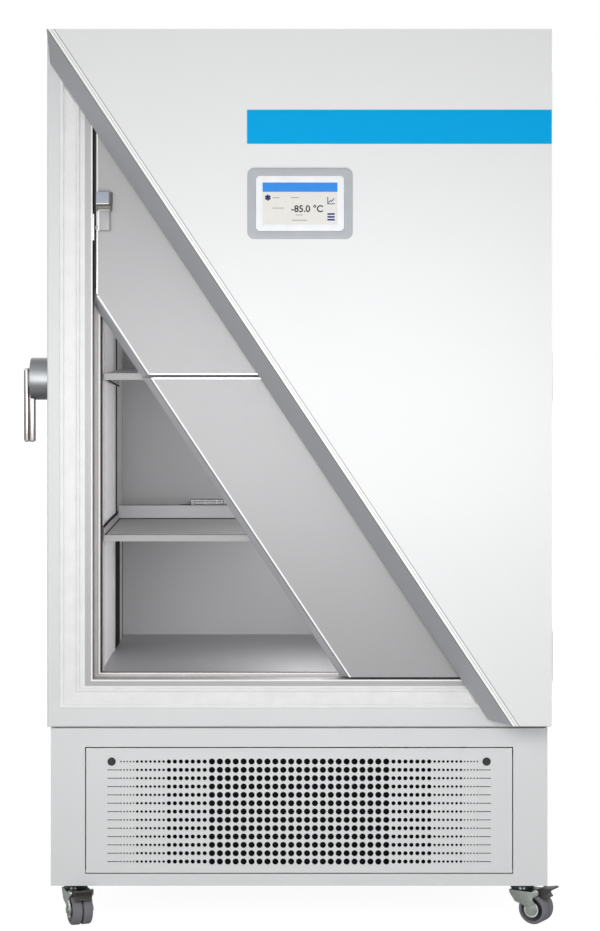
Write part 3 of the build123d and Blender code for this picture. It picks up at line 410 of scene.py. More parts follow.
WHITE_PAINT = PowderCoat("white_paint", (0.745, 0.755, 0.76))
DOOR_PAINT = PowderCoat("door_paint", (0.825, 0.83, 0.835), 0.36)
CUT_PAINT = PowderCoat("cut_paint", (0.38, 0.39, 0.41), 0.5)
INNER_CUT_PAINT = PowderCoat("inner_cut_paint", (0.50, 0.51, 0.54), 0.5)
BLACK_PAINT = PowderCoat("black_paint", (0.015, 0.015, 0.017), 0.4)
BAND_FILM = PowderCoat("band_film", (0.0, 0.39, 0.80), 0.4, 0.02, 0.1)
SHELF_STEEL = BrushedMetal("shelf_steel", (0.44, 0.435, 0.44), Grain.DEEP, 0.45, 0.05, 0.4)
WALL_STEEL = BrushedMetal("wall_steel", (0.45, 0.445, 0.455), Grain.UPRIGHT, 0.5, 0.03, 0.5)
# A paler, nearly non-metallic copy of the wall steel for the side walls: painted light that makes them
# brighter than the back wall.
LIT_SIDE_STEEL = BrushedMetal("side_steel_painted_light", (0.90, 0.89, 0.91), Grain.UPRIGHT, 0.5, 0.03, 0.05)
RAIL_STEEL = BrushedMetal("rail_steel", (0.66, 0.66, 0.65), Grain.UPRIGHT, 0.5, 0.03, 0.3)
DOOR_STEEL = BrushedMetal("door_steel", (0.37, 0.367, 0.374), Grain.SPECKLE, 0.5, 0.03, 0.75)
# Bright steel of the fittings and hinges, also laid as thin films along the inner doors' edges as painted
# highlights.
BRIGHT_EDGE = BrushedMetal("bright_edge", (0.86, 0.87, 0.88), Grain.UPRIGHT, 0.22, 0.02)
# The handle boss's steel: its bands paint shade towards the top and foot and a highlight just above the
# middle.
HANDLE_STEEL = BrushedMetal(
    "handle_steel", (0.46, 0.475, 0.49), Grain.TURNED, 0.42,
    painted_light_bands=((1.165, 0.36), (1.178, 0.42), (1.197, 0.62), (1.209, 1.0), (1.219, 1.0), (1.232, 0.62),
           (1.248, 0.48), (1.260, 0.36)))
LEVER_STEEL = BrushedMetal("lever_steel", (0.56, 0.52, 0.51), Grain.UPRIGHT, 0.24)
FIN_METAL = BrushedMetal("fin_metal", (0.70, 0.71, 0.72), Grain.UPRIGHT, 0.4)
ZINC = PlatedMetal("zinc_plate", (0.40, 0.43, 0.40), 0.34)
COPPER = PlatedMetal("copper_tube", (0.72, 0.36, 0.22), 0.3)
WHITE_PLASTIC = Moulding("white_plastic", (0.84, 0.84, 0.84), 0.38, 0.04)
SCREEN_SURROUND = Moulding("screen_surround", (0.88, 0.90, 0.92), 0.3, 0.03)
GREY_PLASTIC = Moulding("grey_plastic", (0.44, 0.46, 0.49), 0.45)
LATCH_PLASTIC = Moulding("latch_plastic", (0.37, 0.41, 0.48), 0.4)
GASKET_RUBBER = Moulding("gasket_rubber", (0.68, 0.68, 0.69), 0.6)
BLACK_RUBBER = Moulding("black_rubber", (0.02, 0.02, 0.02), 0.7)
RACE_STEEL = PowderCoat("race_steel", (0.03, 0.05, 0.05), 0.35)
TREAD_RUBBER = Moulding("tread_rubber", (0.19, 0.185, 0.205), 0.75, 0.3, 900.0)
HUB_PLASTIC = Moulding("hub_plastic", (0.02, 0.02, 0.022), 0.4)
BRAKE_PLASTIC = Moulding("brake_plastic", (0.035, 0.030, 0.028), 0.42)
# Line finishes for thin strips: LINE_WHITE for the door's white bead and for painted highlights on edges,
# rims, the latch and the race rivets; LINE_PALE for the bead's shade lines, the inner cuts' back edge lines
# and the shelf fronts; LINE_GREY and LINE_DARK mostly for painted shade lines.
LINE_WHITE = PowderCoat("line_white", (0.97, 0.97, 0.97), 0.4, 0.02)
LINE_PALE = PowderCoat("line_pale", (0.43, 0.425, 0.43), 0.4, 0.02)
LINE_GREY = PowderCoat("line_grey", (0.24, 0.245, 0.25), 0.6, 0.02, 0.2)
LINE_DARK = PowderCoat("line_dark", (0.014, 0.012, 0.012), 0.7, 0.02, 0.08)
TAUPE_SEAL = Moulding("taupe_seal", (0.60, 0.57, 0.55), 0.6)
# Dark taupe for the latch's mouth, pin and eye: painted shade under the cap.
SHADED_TAUPE_PLASTIC = Moulding("taupe_plastic_painted_shade", (0.21, 0.195, 0.18), 0.5)
GROOVE_SHADE = Moulding("groove_shade", (0.03, 0.015, 0.017), 0.8)
OLIVE_SHADE = Moulding("olive_shade", (0.16, 0.165, 0.15), 0.6)
# Dark brown for the gap beside the upper inner door and the rebate's side walls: painted shade.
SHADE_BROWN = Moulding("painted_shade_brown", (0.17, 0.15, 0.135), 0.6)
FOAM = RigidFoam("pale_foam", (0.78, 0.70, 0.50))
FILTER_FIBRE = FibreMat("filter_fibre", (0.006, 0.006, 0.007))
PANE_WHITE = LitPane("pane_white", (0.66, 0.65, 0.62), 0.2)
PANE_BLUE = LitPane("pane_blue", (0.015, 0.20, 0.62), 0.3)
PANE_NAVY = LitPane("pane_navy", (0.005, 0.01, 0.20), 0.1)
PANE_INK = LitPane("pane_ink", (0.006, 0.006, 0.008), 0.0)
PANE_FAINT = LitPane("pane_faint", (0.28, 0.28, 0.29), 0.05)

Finish = PowderCoat | BrushedMetal | PlatedMetal | Moulding | RigidFoam | FibreMat | LitPane


class Paintshop:
    """Makes each finish's material once and hands it out."""

    def __init__(self) -> None:
        """Start with nothing mixed."""
        self.made: dict[str, bpy.types.Material] = {}

    def mix(self, finish: Finish) -> bpy.types.Material:
        """The finish's material, made the first time it is asked for.

        Args:
            finish: The finish.

        Returns:
            Its material.
        """
        if finish.name not in self.made:
            self.made[finish.name] = finish.material()
        return self.made[finish.name]

    def coat(self, node: bpy.types.Object, finish: Finish) -> None:
        """Put a finish on a part of the frame that keeps its own shape.

        Args:
            node: The frame's node.
            finish: Its finish.
        """
        material = self.mix(finish)
        if not node.material_slots:
            node.data.materials.append(material)
        for slot in node.material_slots:
            slot.material = material


SHOP = Paintshop()


# Shapes


class Form:
    """A mesh under construction, in metres in the frame's own axes."""

    def __init__(self) -> None:
        """Start an empty mesh."""
        self.bm = bmesh.new()

    def block(self, low: Sequence[float], high: Sequence[float]) -> list[bmesh.types.BMVert]:
        """Add a rectangular block.

        Args:
            low: Lowest corner.
            high: Highest corner.

        Returns:
            The block's corners.
        """
        low_corner, high_corner = Vector(low), Vector(high)
        size = high_corner - low_corner
        matrix = Matrix.Translation((low_corner + high_corner) / 2) @ Matrix.Diagonal((*size, 1.0))
        return bmesh.ops.create_cube(self.bm, size=1.0, matrix=matrix)["verts"]

    def rod(self, start: Sequence[float], end: Sequence[float], radius: float, sides: int = 32,
            end_radius: float | None = None) -> list[bmesh.types.BMVert]:
        """Add a round rod or a taper.

        Args:
            start: Middle of the first end.
            end: Middle of the other end.
            radius: Radius at the start.
            sides: Faces round it.
            end_radius: Radius at the other end, where it differs.

        Returns:
            The rod's vertices.
        """
        first, last = Vector(start), Vector(end)
        line = last - first
        turn = line.to_track_quat("Z", "Y").to_matrix().to_4x4()
        matrix = Matrix.Translation((first + last) / 2) @ turn
        made = bmesh.ops.create_cone(self.bm, cap_ends=True, segments=sides, radius1=radius,
                                     radius2=radius if end_radius is None else end_radius,
                                     depth=line.length, matrix=matrix)
        return made["verts"]

    def outline(self, points: Iterable[Sequence[float]], closed: bool = False) -> list[bmesh.types.BMVert]:
        """Add a line of vertices joined by edges.

        Args:
            points: The line's points.
            closed: Whether the last joins the first.

        Returns:
            The vertices in order.
        """
        verts = [self.bm.verts.new(point) for point in points]
        pairs = list(zip(verts, verts[1:]))
        if closed:
            pairs.append((verts[-1], verts[0]))
        for first, second in pairs:
            self.bm.edges.new((first, second))
        return verts

    def lathe(self, profile: Sequence[tuple[float, float]], centre: Sequence[float], axis: Sequence[float],
              steps: int = 48) -> list[bmesh.types.BMVert]:
        """Turn a profile about an axis.

        Args:
            profile: Distance along the axis and radius at each point.
            centre: Where the axis starts.
            axis: Direction of the axis.
            steps: Faces round it.

        Returns:
            The turned vertices.
        """
        origin, along = Vector(centre), Vector(axis).normalized()
        across = along.orthogonal().normalized()
        before = set(self.bm.verts)
        line = self.outline(origin + along * distance + across * radius for distance, radius in profile)
        edges = [edge for edge in self.bm.edges if edge.verts[0] in line and edge.verts[1] in line]
        bmesh.ops.spin(self.bm, geom=line + edges, cent=origin, axis=along, angle=2 * math.pi, steps=steps,
                       use_merge=True, use_duplicate=False)
        fresh = [vert for vert in self.bm.verts if vert not in before]
        bmesh.ops.remove_doubles(self.bm, verts=fresh, dist=0.002 * MM)
        return [vert for vert in self.bm.verts if vert not in before]

    def plate(self, outline: Iterable[Sequence[float]],
              thickness: Sequence[float]) -> list[bmesh.types.BMVert]:
        """Add a flat shape and carry it along a direction.

        Args:
            outline: The shape's corners, in order.
            thickness: The direction and distance it is carried.

        Returns:
            The plate's vertices.
        """
        verts = [self.bm.verts.new(point) for point in outline]
        face = self.bm.faces.new(verts)
        made = bmesh.ops.extrude_face_region(self.bm, geom=[face])["geom"]
        carried = [item for item in made if isinstance(item, bmesh.types.BMVert)]
        bmesh.ops.translate(self.bm, verts=carried, vec=Vector(thickness))
        return verts + carried

    def strip(self, ends: tuple[Vector, Vector], offset: Span, y: float, proud: float) -> None:
        """Add a flat strip beside a sloping line in the X-Z plane.

        Args:
            ends: Top and bottom of the line.
            offset: Where the strip starts and ends along X from the line.
            y: Depth of the surface that carries it.
            proud: How far it stands out to the front.
        """
        top, bottom = ends
        corners = [(top.x + offset.low, y, top.z), (top.x + offset.high, y, top.z),
                   (bottom.x + offset.high, y, bottom.z), (bottom.x + offset.low, y, bottom.z)]
        self.plate(corners, (0.0, -proud, 0.0))

    def slope_strip(self, ends: tuple[Vector, Vector], depth: Span, run: float) -> None:
        """Add a thin film on the slanted face of a cut.

        Args:
            ends: Top and bottom of the cut's front edge.
            depth: Where the film starts and ends behind that edge.
            run: How far the cut leans to the left per unit of depth.
        """
        top, bottom = ends
        places = ((top, depth.low), (top, depth.high), (bottom, depth.high), (bottom, depth.low))
        corners = [(end.x - run * deep, end.y + deep, end.z) for end, deep in places]
        self.plate(corners, (-0.6 * FILM, -FILM, 0.0))

    def ring(self, half: float, z: Span, wide: float, y: Span, middle: float) -> None:
        """Add a rectangular frame of four flat strips that face the front.

        Args:
            half: Half of its outer width.
            z: Its foot and head outside.
            wide: Width of the strips, inwards.
            y: Front and back.
            middle: X of its centre line.
        """
        for side in (-1, 1):
            x = sorted((middle + side * half, middle + side * (half - wide)))
            self.block((x[0], y.low, z.low), (x[1], y.high, z.high))
        for low in (z.low, z.high - wide):
            self.block((middle - half + wide, y.low, low), (middle + half - wide, y.high, low + wide))

    def soften(self, verts: Iterable[bmesh.types.BMVert], radius: float, segments: int = 2,
               along: Sequence[float] | None = None) -> None:
        """Round the edges between some vertices.

        Args:
            verts: Vertices whose shared edges are rounded.
            radius: Width of the rounding.
            segments: Faces across it.
            along: Only edges that run this way, where given.
        """
        chosen = set(verts)
        edges = {edge for vert in chosen for edge in vert.link_edges if edge.other_vert(vert) in chosen}
        if along is not None:
            way = Vector(along).normalized()
            edges = {edge for edge in edges
                     if abs((edge.verts[1].co - edge.verts[0].co).normalized().dot(way)) > 0.99}
        sharp = math.radians(25.0)
        flat = [edge for edge in edges if len(edge.link_faces) == 2 and edge.calc_face_angle() > sharp]
        bmesh.ops.bevel(self.bm, geom=flat, offset=radius, segments=segments, profile=0.5, affect="EDGES",
                        material=-1, clamp_overlap=True)

    def take(self, other: Form) -> None:
        """Move another form's mesh into this one.

        Args:
            other: The form that is used up.
        """
        mesh = bpy.data.meshes.new("moved")
        other.bm.to_mesh(mesh)
        other.bm.free()
        self.bm.from_mesh(mesh)
        bpy.data.meshes.remove(mesh)

    def turn(self, verts: Iterable[bmesh.types.BMVert], angle: float, centre: Sequence[float],
             axis: str = "Z") -> None:
        """Turn some vertices about an axis through a point."""
        turn = Matrix.Rotation(angle, 3, axis)
        bmesh.ops.rotate(self.bm, verts=list(verts), cent=Vector(centre), matrix=turn)

    def piece(self, name: str, finish: Finish, body: str, slot: str, replaces: Sequence[str] = (),
              smooth_angle: float = 35.0) -> bpy.types.Object:
        """Finish the mesh as a visible piece.

        Args:
            name: The piece's name.
            finish: Its finish.
            body: The moving body that it rides on.
            slot: Not used.
            replaces: Frame nodes it stands for.
            smooth_angle: Edges sharper than this, in degrees, stay crisp.

        Returns:
            The finished object.
        """
        bmesh.ops.recalc_face_normals(self.bm, faces=self.bm.faces)
        mesh = bpy.data.meshes.new(name)
        self.bm.to_mesh(mesh)
        self.bm.free()
        mesh.shade_smooth()
        mesh.set_sharp_from_angle(angle=math.radians(smooth_angle))
        mesh.materials.append(SHOP.mix(finish))
        piece = bpy.data.objects.new(name, mesh)
        bpy.context.scene.collection.objects.link(piece)
        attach(piece, body)
        if replaces:
            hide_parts(*replaces)
        LOG.info("piece %s on %s, %d faces", name, body, len(mesh.polygons))
        return piece


@dataclass(frozen=True)
class Span:
    """A stretch between two values."""

    low: float
    high: float

    @classmethod
    def mm(cls, low: float, high: float) -> Span:
        """A stretch given in millimetres."""
        return cls(low * MM, high * MM)

    @property
    def middle(self) -> float:
        """The value halfway along."""
        return (self.low + self.high) / 2

    @property
    def length(self) -> float:
        """The distance from end to end."""
        return self.high - self.low


@dataclass(frozen=True)
class Extent:
    """The box of a frame node."""

    x: Span
    y: Span
    z: Span

    @classmethod
    def of(cls, node: str) -> Extent:
        """The extent of a frame node at rest."""
        low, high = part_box(node)
        return cls(*(Span(low[axis], high[axis]) for axis in range(3)))


@dataclass(frozen=True)
class Opening:
    """A hole through a flat sheet: round where both half sizes match, else a slot with square ends."""

    half_width: float
    half_height: float
    sides: int = 4

    def corners(self, x: float, z: float) -> list[tuple[float, float]]:
        """The hole's outline about a centre, in order.

        Args:
            x: The centre's X.
            z: The centre's height.

        Returns:
            The outline's points.
        """
        if self.sides == 4:
            signs = ((-1, -1), (1, -1), (1, 1), (-1, 1))
            return [(x + i * self.half_width, z + k * self.half_height) for i, k in signs]
        turns = (2 * math.pi * (index + 0.5) / self.sides for index in range(self.sides))
        return [(x + self.half_width * math.cos(turn), z + self.half_height * math.sin(turn))
                for turn in turns]


class Sheet(Form):
    """A flat sheet made of a grid of cells, any of which may hold a hole."""

    def __init__(self, columns: Sequence[float], rows: Sequence[float]) -> None:
        """Start a sheet in the X-Z plane.

        Args:
            columns: X of the lines between cells, from left to right.
            rows: Z of the lines between cells, from the foot up.
        """
        super().__init__()
        self.columns = columns
        self.rows = rows

    def fill(self, holes: dict[tuple[int, int], tuple[Opening, float, float]]) -> None:
        """Lay every cell, with its hole where it has one.

        Args:
            holes: Column and row of each cell with a hole, to its hole and the hole's centre.
        """
        for column in range(len(self.columns) - 1):
            for row in range(len(self.rows) - 1):
                x0, x1 = self.columns[column], self.columns[column + 1]
                z0, z1 = self.rows[row], self.rows[row + 1]
                frame = [(x0, 0.0, z0), (x1, 0.0, z0), (x1, 0.0, z1), (x0, 0.0, z1)]
                if (column, row) not in holes:
                    self.bm.faces.new([self.bm.verts.new(corner) for corner in frame])
                    continue
                opening, x, z = holes[(column, row)]
                outer = self.outline(frame, closed=True)
                inner = self.outline(((cx, 0.0, cz) for cx, cz in opening.corners(x, z)), closed=True)
                ring = set(outer) | set(inner)
                edges = list({edge for vert in ring for edge in vert.link_edges})
                bmesh.ops.triangle_fill(self.bm, edges=edges, use_beauty=True, normal=(0.0, -1.0, 0.0))
        bmesh.ops.remove_doubles(self.bm, verts=self.bm.verts, dist=0.01 * MM)

    def thicken(self, y: Span) -> None:
        """Carry the flat sheet from one depth to another.

        Args:
            y: Its front and back.
        """
        made = bmesh.ops.extrude_face_region(self.bm, geom=list(self.bm.faces))["geom"]
        carried = [item for item in made if isinstance(item, bmesh.types.BMVert)]
        bmesh.ops.translate(self.bm, verts=carried, vec=(0.0, y.length, 0.0))
        bmesh.ops.translate(self.bm, verts=self.bm.verts, vec=(0.0, y.low, 0.0))


# Studio


@dataclass(frozen=True)
class Studio:
    """Camera, floor, world and lamps."""

    distance: float = 5.5535
    eye_height: float = 1.333
    lens: float = 90.48
    sensor: float = 36.0
    frame_height: int = 931
    horizon_rise: float = 140.5
    centre_drift: float = 0.9
    fill_strength: float = 0.42
    strip_height: float = 1.12
    strip_size: tuple[float, float] = (1.8, 0.6)
    strip_power: float = 11.0
    strip_distance: float = 1.75
    chamber_heights: tuple[float, ...] = (0.80, 1.15, 1.46)
    chamber_place: tuple[float, float] = (0.03, -0.17)
    chamber_softness: float = 0.1
    chamber_power: float = 2.6
    floor_reach: float = 40.0
    floor_glow: float = 1.24
    floor_glow_share: float = 0.75

    def build(self, middle: float) -> None:
        """Set up everything that isn't part of the object.

        Args:
            middle: X of the cabinet's centre line.
        """
        scene = bpy.context.scene
        scene.view_settings.view_transform = "Standard"
        self.aim_camera(scene, middle)
        self.light_world(scene)
        self.lay_floor()
        self.hang_lamps()
        self.hang_strip(middle)
        self.light_chamber(middle)

    def aim_camera(self, scene: bpy.types.Scene, middle: float) -> None:
        """Put the camera where the picture was taken from, looking straight at the front.

        Args:
            scene: The scene.
            middle: X of the cabinet's centre line.
        """
        data = bpy.data.cameras.new("camera")
        data.lens = self.lens
        data.sensor_width = self.sensor
        data.shift_x = self.centre_drift / self.frame_height
        data.shift_y = -self.horizon_rise / self.frame_height
        camera = bpy.data.objects.new("camera", data)
        camera.location = (middle, -self.distance, self.eye_height)
        camera.rotation_euler = (math.radians(90.0), 0.0, 0.0)
        scene.collection.objects.link(camera)
        scene.camera = camera

    def light_world(self, scene: bpy.types.Scene) -> None:
        """White where it is seen or mirrored, and softer where it lights the object.

        Args:
            scene: The scene.
        """
        world = bpy.data.worlds.new("studio")
        scene.world = world
        world.use_nodes = True
        nodes, links = world.node_tree.nodes, world.node_tree.links
        background = nodes["Background"]
        background.inputs["Color"].default_value = (1.0, 1.0, 1.0, 1.0)
        path = nodes.new("ShaderNodeLightPath")
        seen = nodes.new("ShaderNodeMath")
        seen.operation = "MAXIMUM"
        mirrored = nodes.new("ShaderNodeMath")
        mirrored.operation = "MAXIMUM"
        links.new(path.outputs["Is Glossy Ray"], mirrored.inputs[0])
        links.new(path.outputs["Is Transmission Ray"], mirrored.inputs[1])
        links.new(path.outputs["Is Camera Ray"], seen.inputs[0])
        links.new(mirrored.outputs[0], seen.inputs[1])
        level = nodes.new("ShaderNodeMapRange")
        level.inputs["To Min"].default_value = self.fill_strength
        level.inputs["To Max"].default_value = 1.0
        links.new(seen.outputs[0], level.inputs["Value"])
        links.new(level.outputs["Result"], background.inputs["Strength"])

    def lay_floor(self) -> None:
        """A wide pale floor that keeps the object's shadow."""
        bm = bmesh.new()
        bmesh.ops.create_grid(bm, x_segments=1, y_segments=1, size=self.floor_reach)
        mesh = bpy.data.meshes.new("floor")
        bm.to_mesh(mesh)
        bm.free()
        shader = Shader("pale_floor", (0.9, 0.9, 0.9), 0.9)
        shader.vary_colour(shader.noise(1.5), 0.01)
        path = shader.nodes.new("ShaderNodeLightPath")
        glow = shader.nodes.new("ShaderNodeEmission")
        blend = shader.nodes.new("ShaderNodeMixShader")
        share = shader.nodes.new("ShaderNodeMath")
        share.operation = "MULTIPLY"
        share.inputs[1].default_value = self.floor_glow_share
        glow.inputs["Strength"].default_value = self.floor_glow
        shader.links.new(path.outputs["Is Camera Ray"], share.inputs[0])
        shader.links.new(share.outputs[0], blend.inputs[0])
        shader.links.new(shader.surface.outputs[0], blend.inputs[1])
        shader.links.new(glow.outputs[0], blend.inputs[2])
        shader.links.new(blend.outputs[0], shader.nodes["Material Output"].inputs["Surface"])
        mesh.materials.append(shader.material)
        floor = bpy.data.objects.new("floor", mesh)
        bpy.context.scene.collection.objects.link(floor)

    def hang_lamps(self) -> None:
        """A large key from the upper left front, a fill from the right and a rim lamp behind."""
        lamps = {
            "key": ((-2.8, -4.2, 3.0), 3.0, 30.0),
            "fill": ((3.6, -4.0, 1.8), 3.0, 20.0),
            "rim": ((0.0, 3.4, 3.8), 3.0, 30.0),
        }
        for name, (place, size, power) in lamps.items():
            data = bpy.data.lights.new(name, "AREA")
            data.size = size
            data.energy = power
            lamp = bpy.data.objects.new(name, data)
            lamp.location = place
            aim = Vector((0.0, 0.0, 1.0)) - Vector(place)
            lamp.rotation_euler = aim.to_track_quat("-Z", "Y").to_euler()
            bpy.context.scene.collection.objects.link(lamp)

    def hang_strip(self, middle: float) -> None:
        """A long low lamp straight ahead, which makes the door brightest across its middle.

        Args:
            middle: X of the cabinet's centre line.
        """
        data = bpy.data.lights.new("strip", "AREA")
        data.shape = "RECTANGLE"
        data.size, data.size_y = self.strip_size
        data.energy = self.strip_power
        lamp = bpy.data.objects.new("strip", data)
        lamp.location = (middle, -self.strip_distance, self.strip_height)
        lamp.rotation_euler = (math.radians(90.0), 0.0, 0.0)
        lamp.visible_camera = False
        bpy.context.scene.collection.objects.link(lamp)

    def light_chamber(self, middle: float) -> None:
        """Small soft lamps in the compartments that the cutaway opens.

        Args:
            middle: X of the cabinet's centre line.
        """
        for index, height in enumerate(self.chamber_heights):
            data = bpy.data.lights.new(f"chamber_{index}", "POINT")
            data.energy = self.chamber_power
            data.shadow_soft_size = self.chamber_softness
            lamp = bpy.data.objects.new(data.name, data)
            lamp.location = (middle + self.chamber_place[0], self.chamber_place[1], height)
            lamp.visible_camera = False
            bpy.context.scene.collection.objects.link(lamp)


# Frame nodes that keep their shape


FRAME_FINISHES: dict[Finish, tuple[str, ...]] = {
    WHITE_PAINT: ("cabinet_shell", "rear_panel", "base_frame", "base_panels", "base_front_frame",
                  "electrics_box"),
    DOOR_PAINT: ("outer_door_skin",),
    CUT_PAINT: ("outer_door_section_cover",),
    INNER_CUT_PAINT: ("upper_inner_door_section_cover", "lower_inner_door_section_cover"),
    FOAM: ("cabinet_foam", "outer_door_foam", "upper_inner_door_foam", "lower_inner_door_foam"),
    WALL_STEEL: ("cabinet_liner",),
    SHELF_STEEL: ("shelves",),
    DOOR_STEEL: ("upper_inner_door_skin", "lower_inner_door_skin"),
    BRIGHT_EDGE: ("inner_door_frame_fittings", "outer_hinge_cabinet_leaves", "outer_hinge_door_leaves",
                  "lower_inner_hinge_leaves"),
    WHITE_PLASTIC: ("breaker_frame",),
    GASKET_RUBBER: ("outer_door_gasket", "upper_inner_door_gasket", "lower_inner_door_gasket"),
    COPPER: ("evaporator_coil", "refrigerant_circuit"),
    FIN_METAL: ("condenser",),
    BLACK_PAINT: ("fan_mount", "compressors"),
    HUB_PLASTIC: ("power_entry", "power_rocker", "fan_wheel"),
    BLACK_RUBBER: ("compressor_grommets",),
    FILTER_FIBRE: ("filter_mat",),
    ZINC: ("castor_plates",),
}


def coat_frame(nodes: dict[str, bpy.types.Object]) -> None:
    """Give every frame node that keeps its shape its finish.

    Args:
        nodes: The frame's nodes by name.
    """
    for finish, names in FRAME_FINISHES.items():
        for name in names:
            SHOP.coat(nodes[name], finish)
        LOG.info("finish %s on %s", finish.name, ", ".join(names))


def cut_edge(cover: bpy.types.Object) -> tuple[Vector, Vector]:
    """The front edge of a sectioned door's cut.

    Args:
        cover: The plate over the cut.

    Returns:
        Its top and bottom ends.
    """
    corners = [vert.co for vert in cover.data.vertices]
    front = min(corner.y for corner in corners)
    edge = [corner for corner in corners if corner.y - front < 0.05 * MM]
    top = max(edge, key=lambda corner: (round(corner.z, 5), -corner.x))
    bottom = min(edge, key=lambda corner: (round(corner.z, 5), corner.x))
    return Vector(top), Vector(bottom)


# Outer door


@dataclass(frozen=True)
class OuterDoor:
    """The band across the door and the bead along its cut."""

    centre: float
    band_left: float = -113.4 * MM
    band_drop: float = 175.6 * MM
    band_height: float = 74.4 * MM
    bead_proud: float = 0.8 * MM
    bevel_run: float = 0.5465

    def build(self, nodes: dict[str, bpy.types.Object]) -> None:
        """Make the door's own pieces.

        Args:
            nodes: The frame's nodes by name.
        """
        skin = Extent.of("outer_door_skin")
        self.lay_band(skin)
        self.lay_bead(skin, cut_edge(nodes["outer_door_section_cover"]))

    def lay_band(self, skin: Extent) -> None:
        """Coloured film from beside the middle to the hinge edge.

        Args:
            skin: The door skin's extent.
        """
        form = Form()
        top = skin.z.high - self.band_drop
        form.block((self.centre + self.band_left, skin.y.low - FILM, top - self.band_height),
                   (skin.x.high - 0.3 * MM, skin.y.low, top))
        form.piece("door_band", BAND_FILM, "outer_door", "white_paint")

    def lay_bead(self, skin: Extent, ends: tuple[Vector, Vector]) -> None:
        """White bead in two strips along the cut's front edge, with painted shade in the groove between them,
        a painted shadow beside them on the door, and a painted shade line on the cut's slope.

        Args:
            skin: The door skin's extent.
            ends: Top and bottom of the cut's front edge.
        """
        bead = Form()
        for offset in (Span.mm(0.2, 6.9), Span.mm(8.2, 12.6)):
            bead.strip(ends, offset, skin.y.low, self.bead_proud)
        bead.piece("cut_bead", LINE_WHITE, "outer_door", "white_plastic")
        # Grey lines in the groove between the strips and on the door beside the bead: painted shade and
        # shadow.
        seam = Form()
        seam.strip(ends, Span.mm(7.0, 8.1), skin.y.low, self.bead_proud - 0.1 * MM)
        seam.strip(ends, Span.mm(12.7, 15.1), skin.y.low, FILM)
        seam.piece("bead_shadow_lines", LINE_PALE, "outer_door", "white_paint")
        shade = Form()
        shade.slope_strip(ends, Span.mm(0.3, 4.4), self.bevel_run)
        shade.piece("cut_shade", LINE_GREY, "outer_door", "grey_section")


# Display


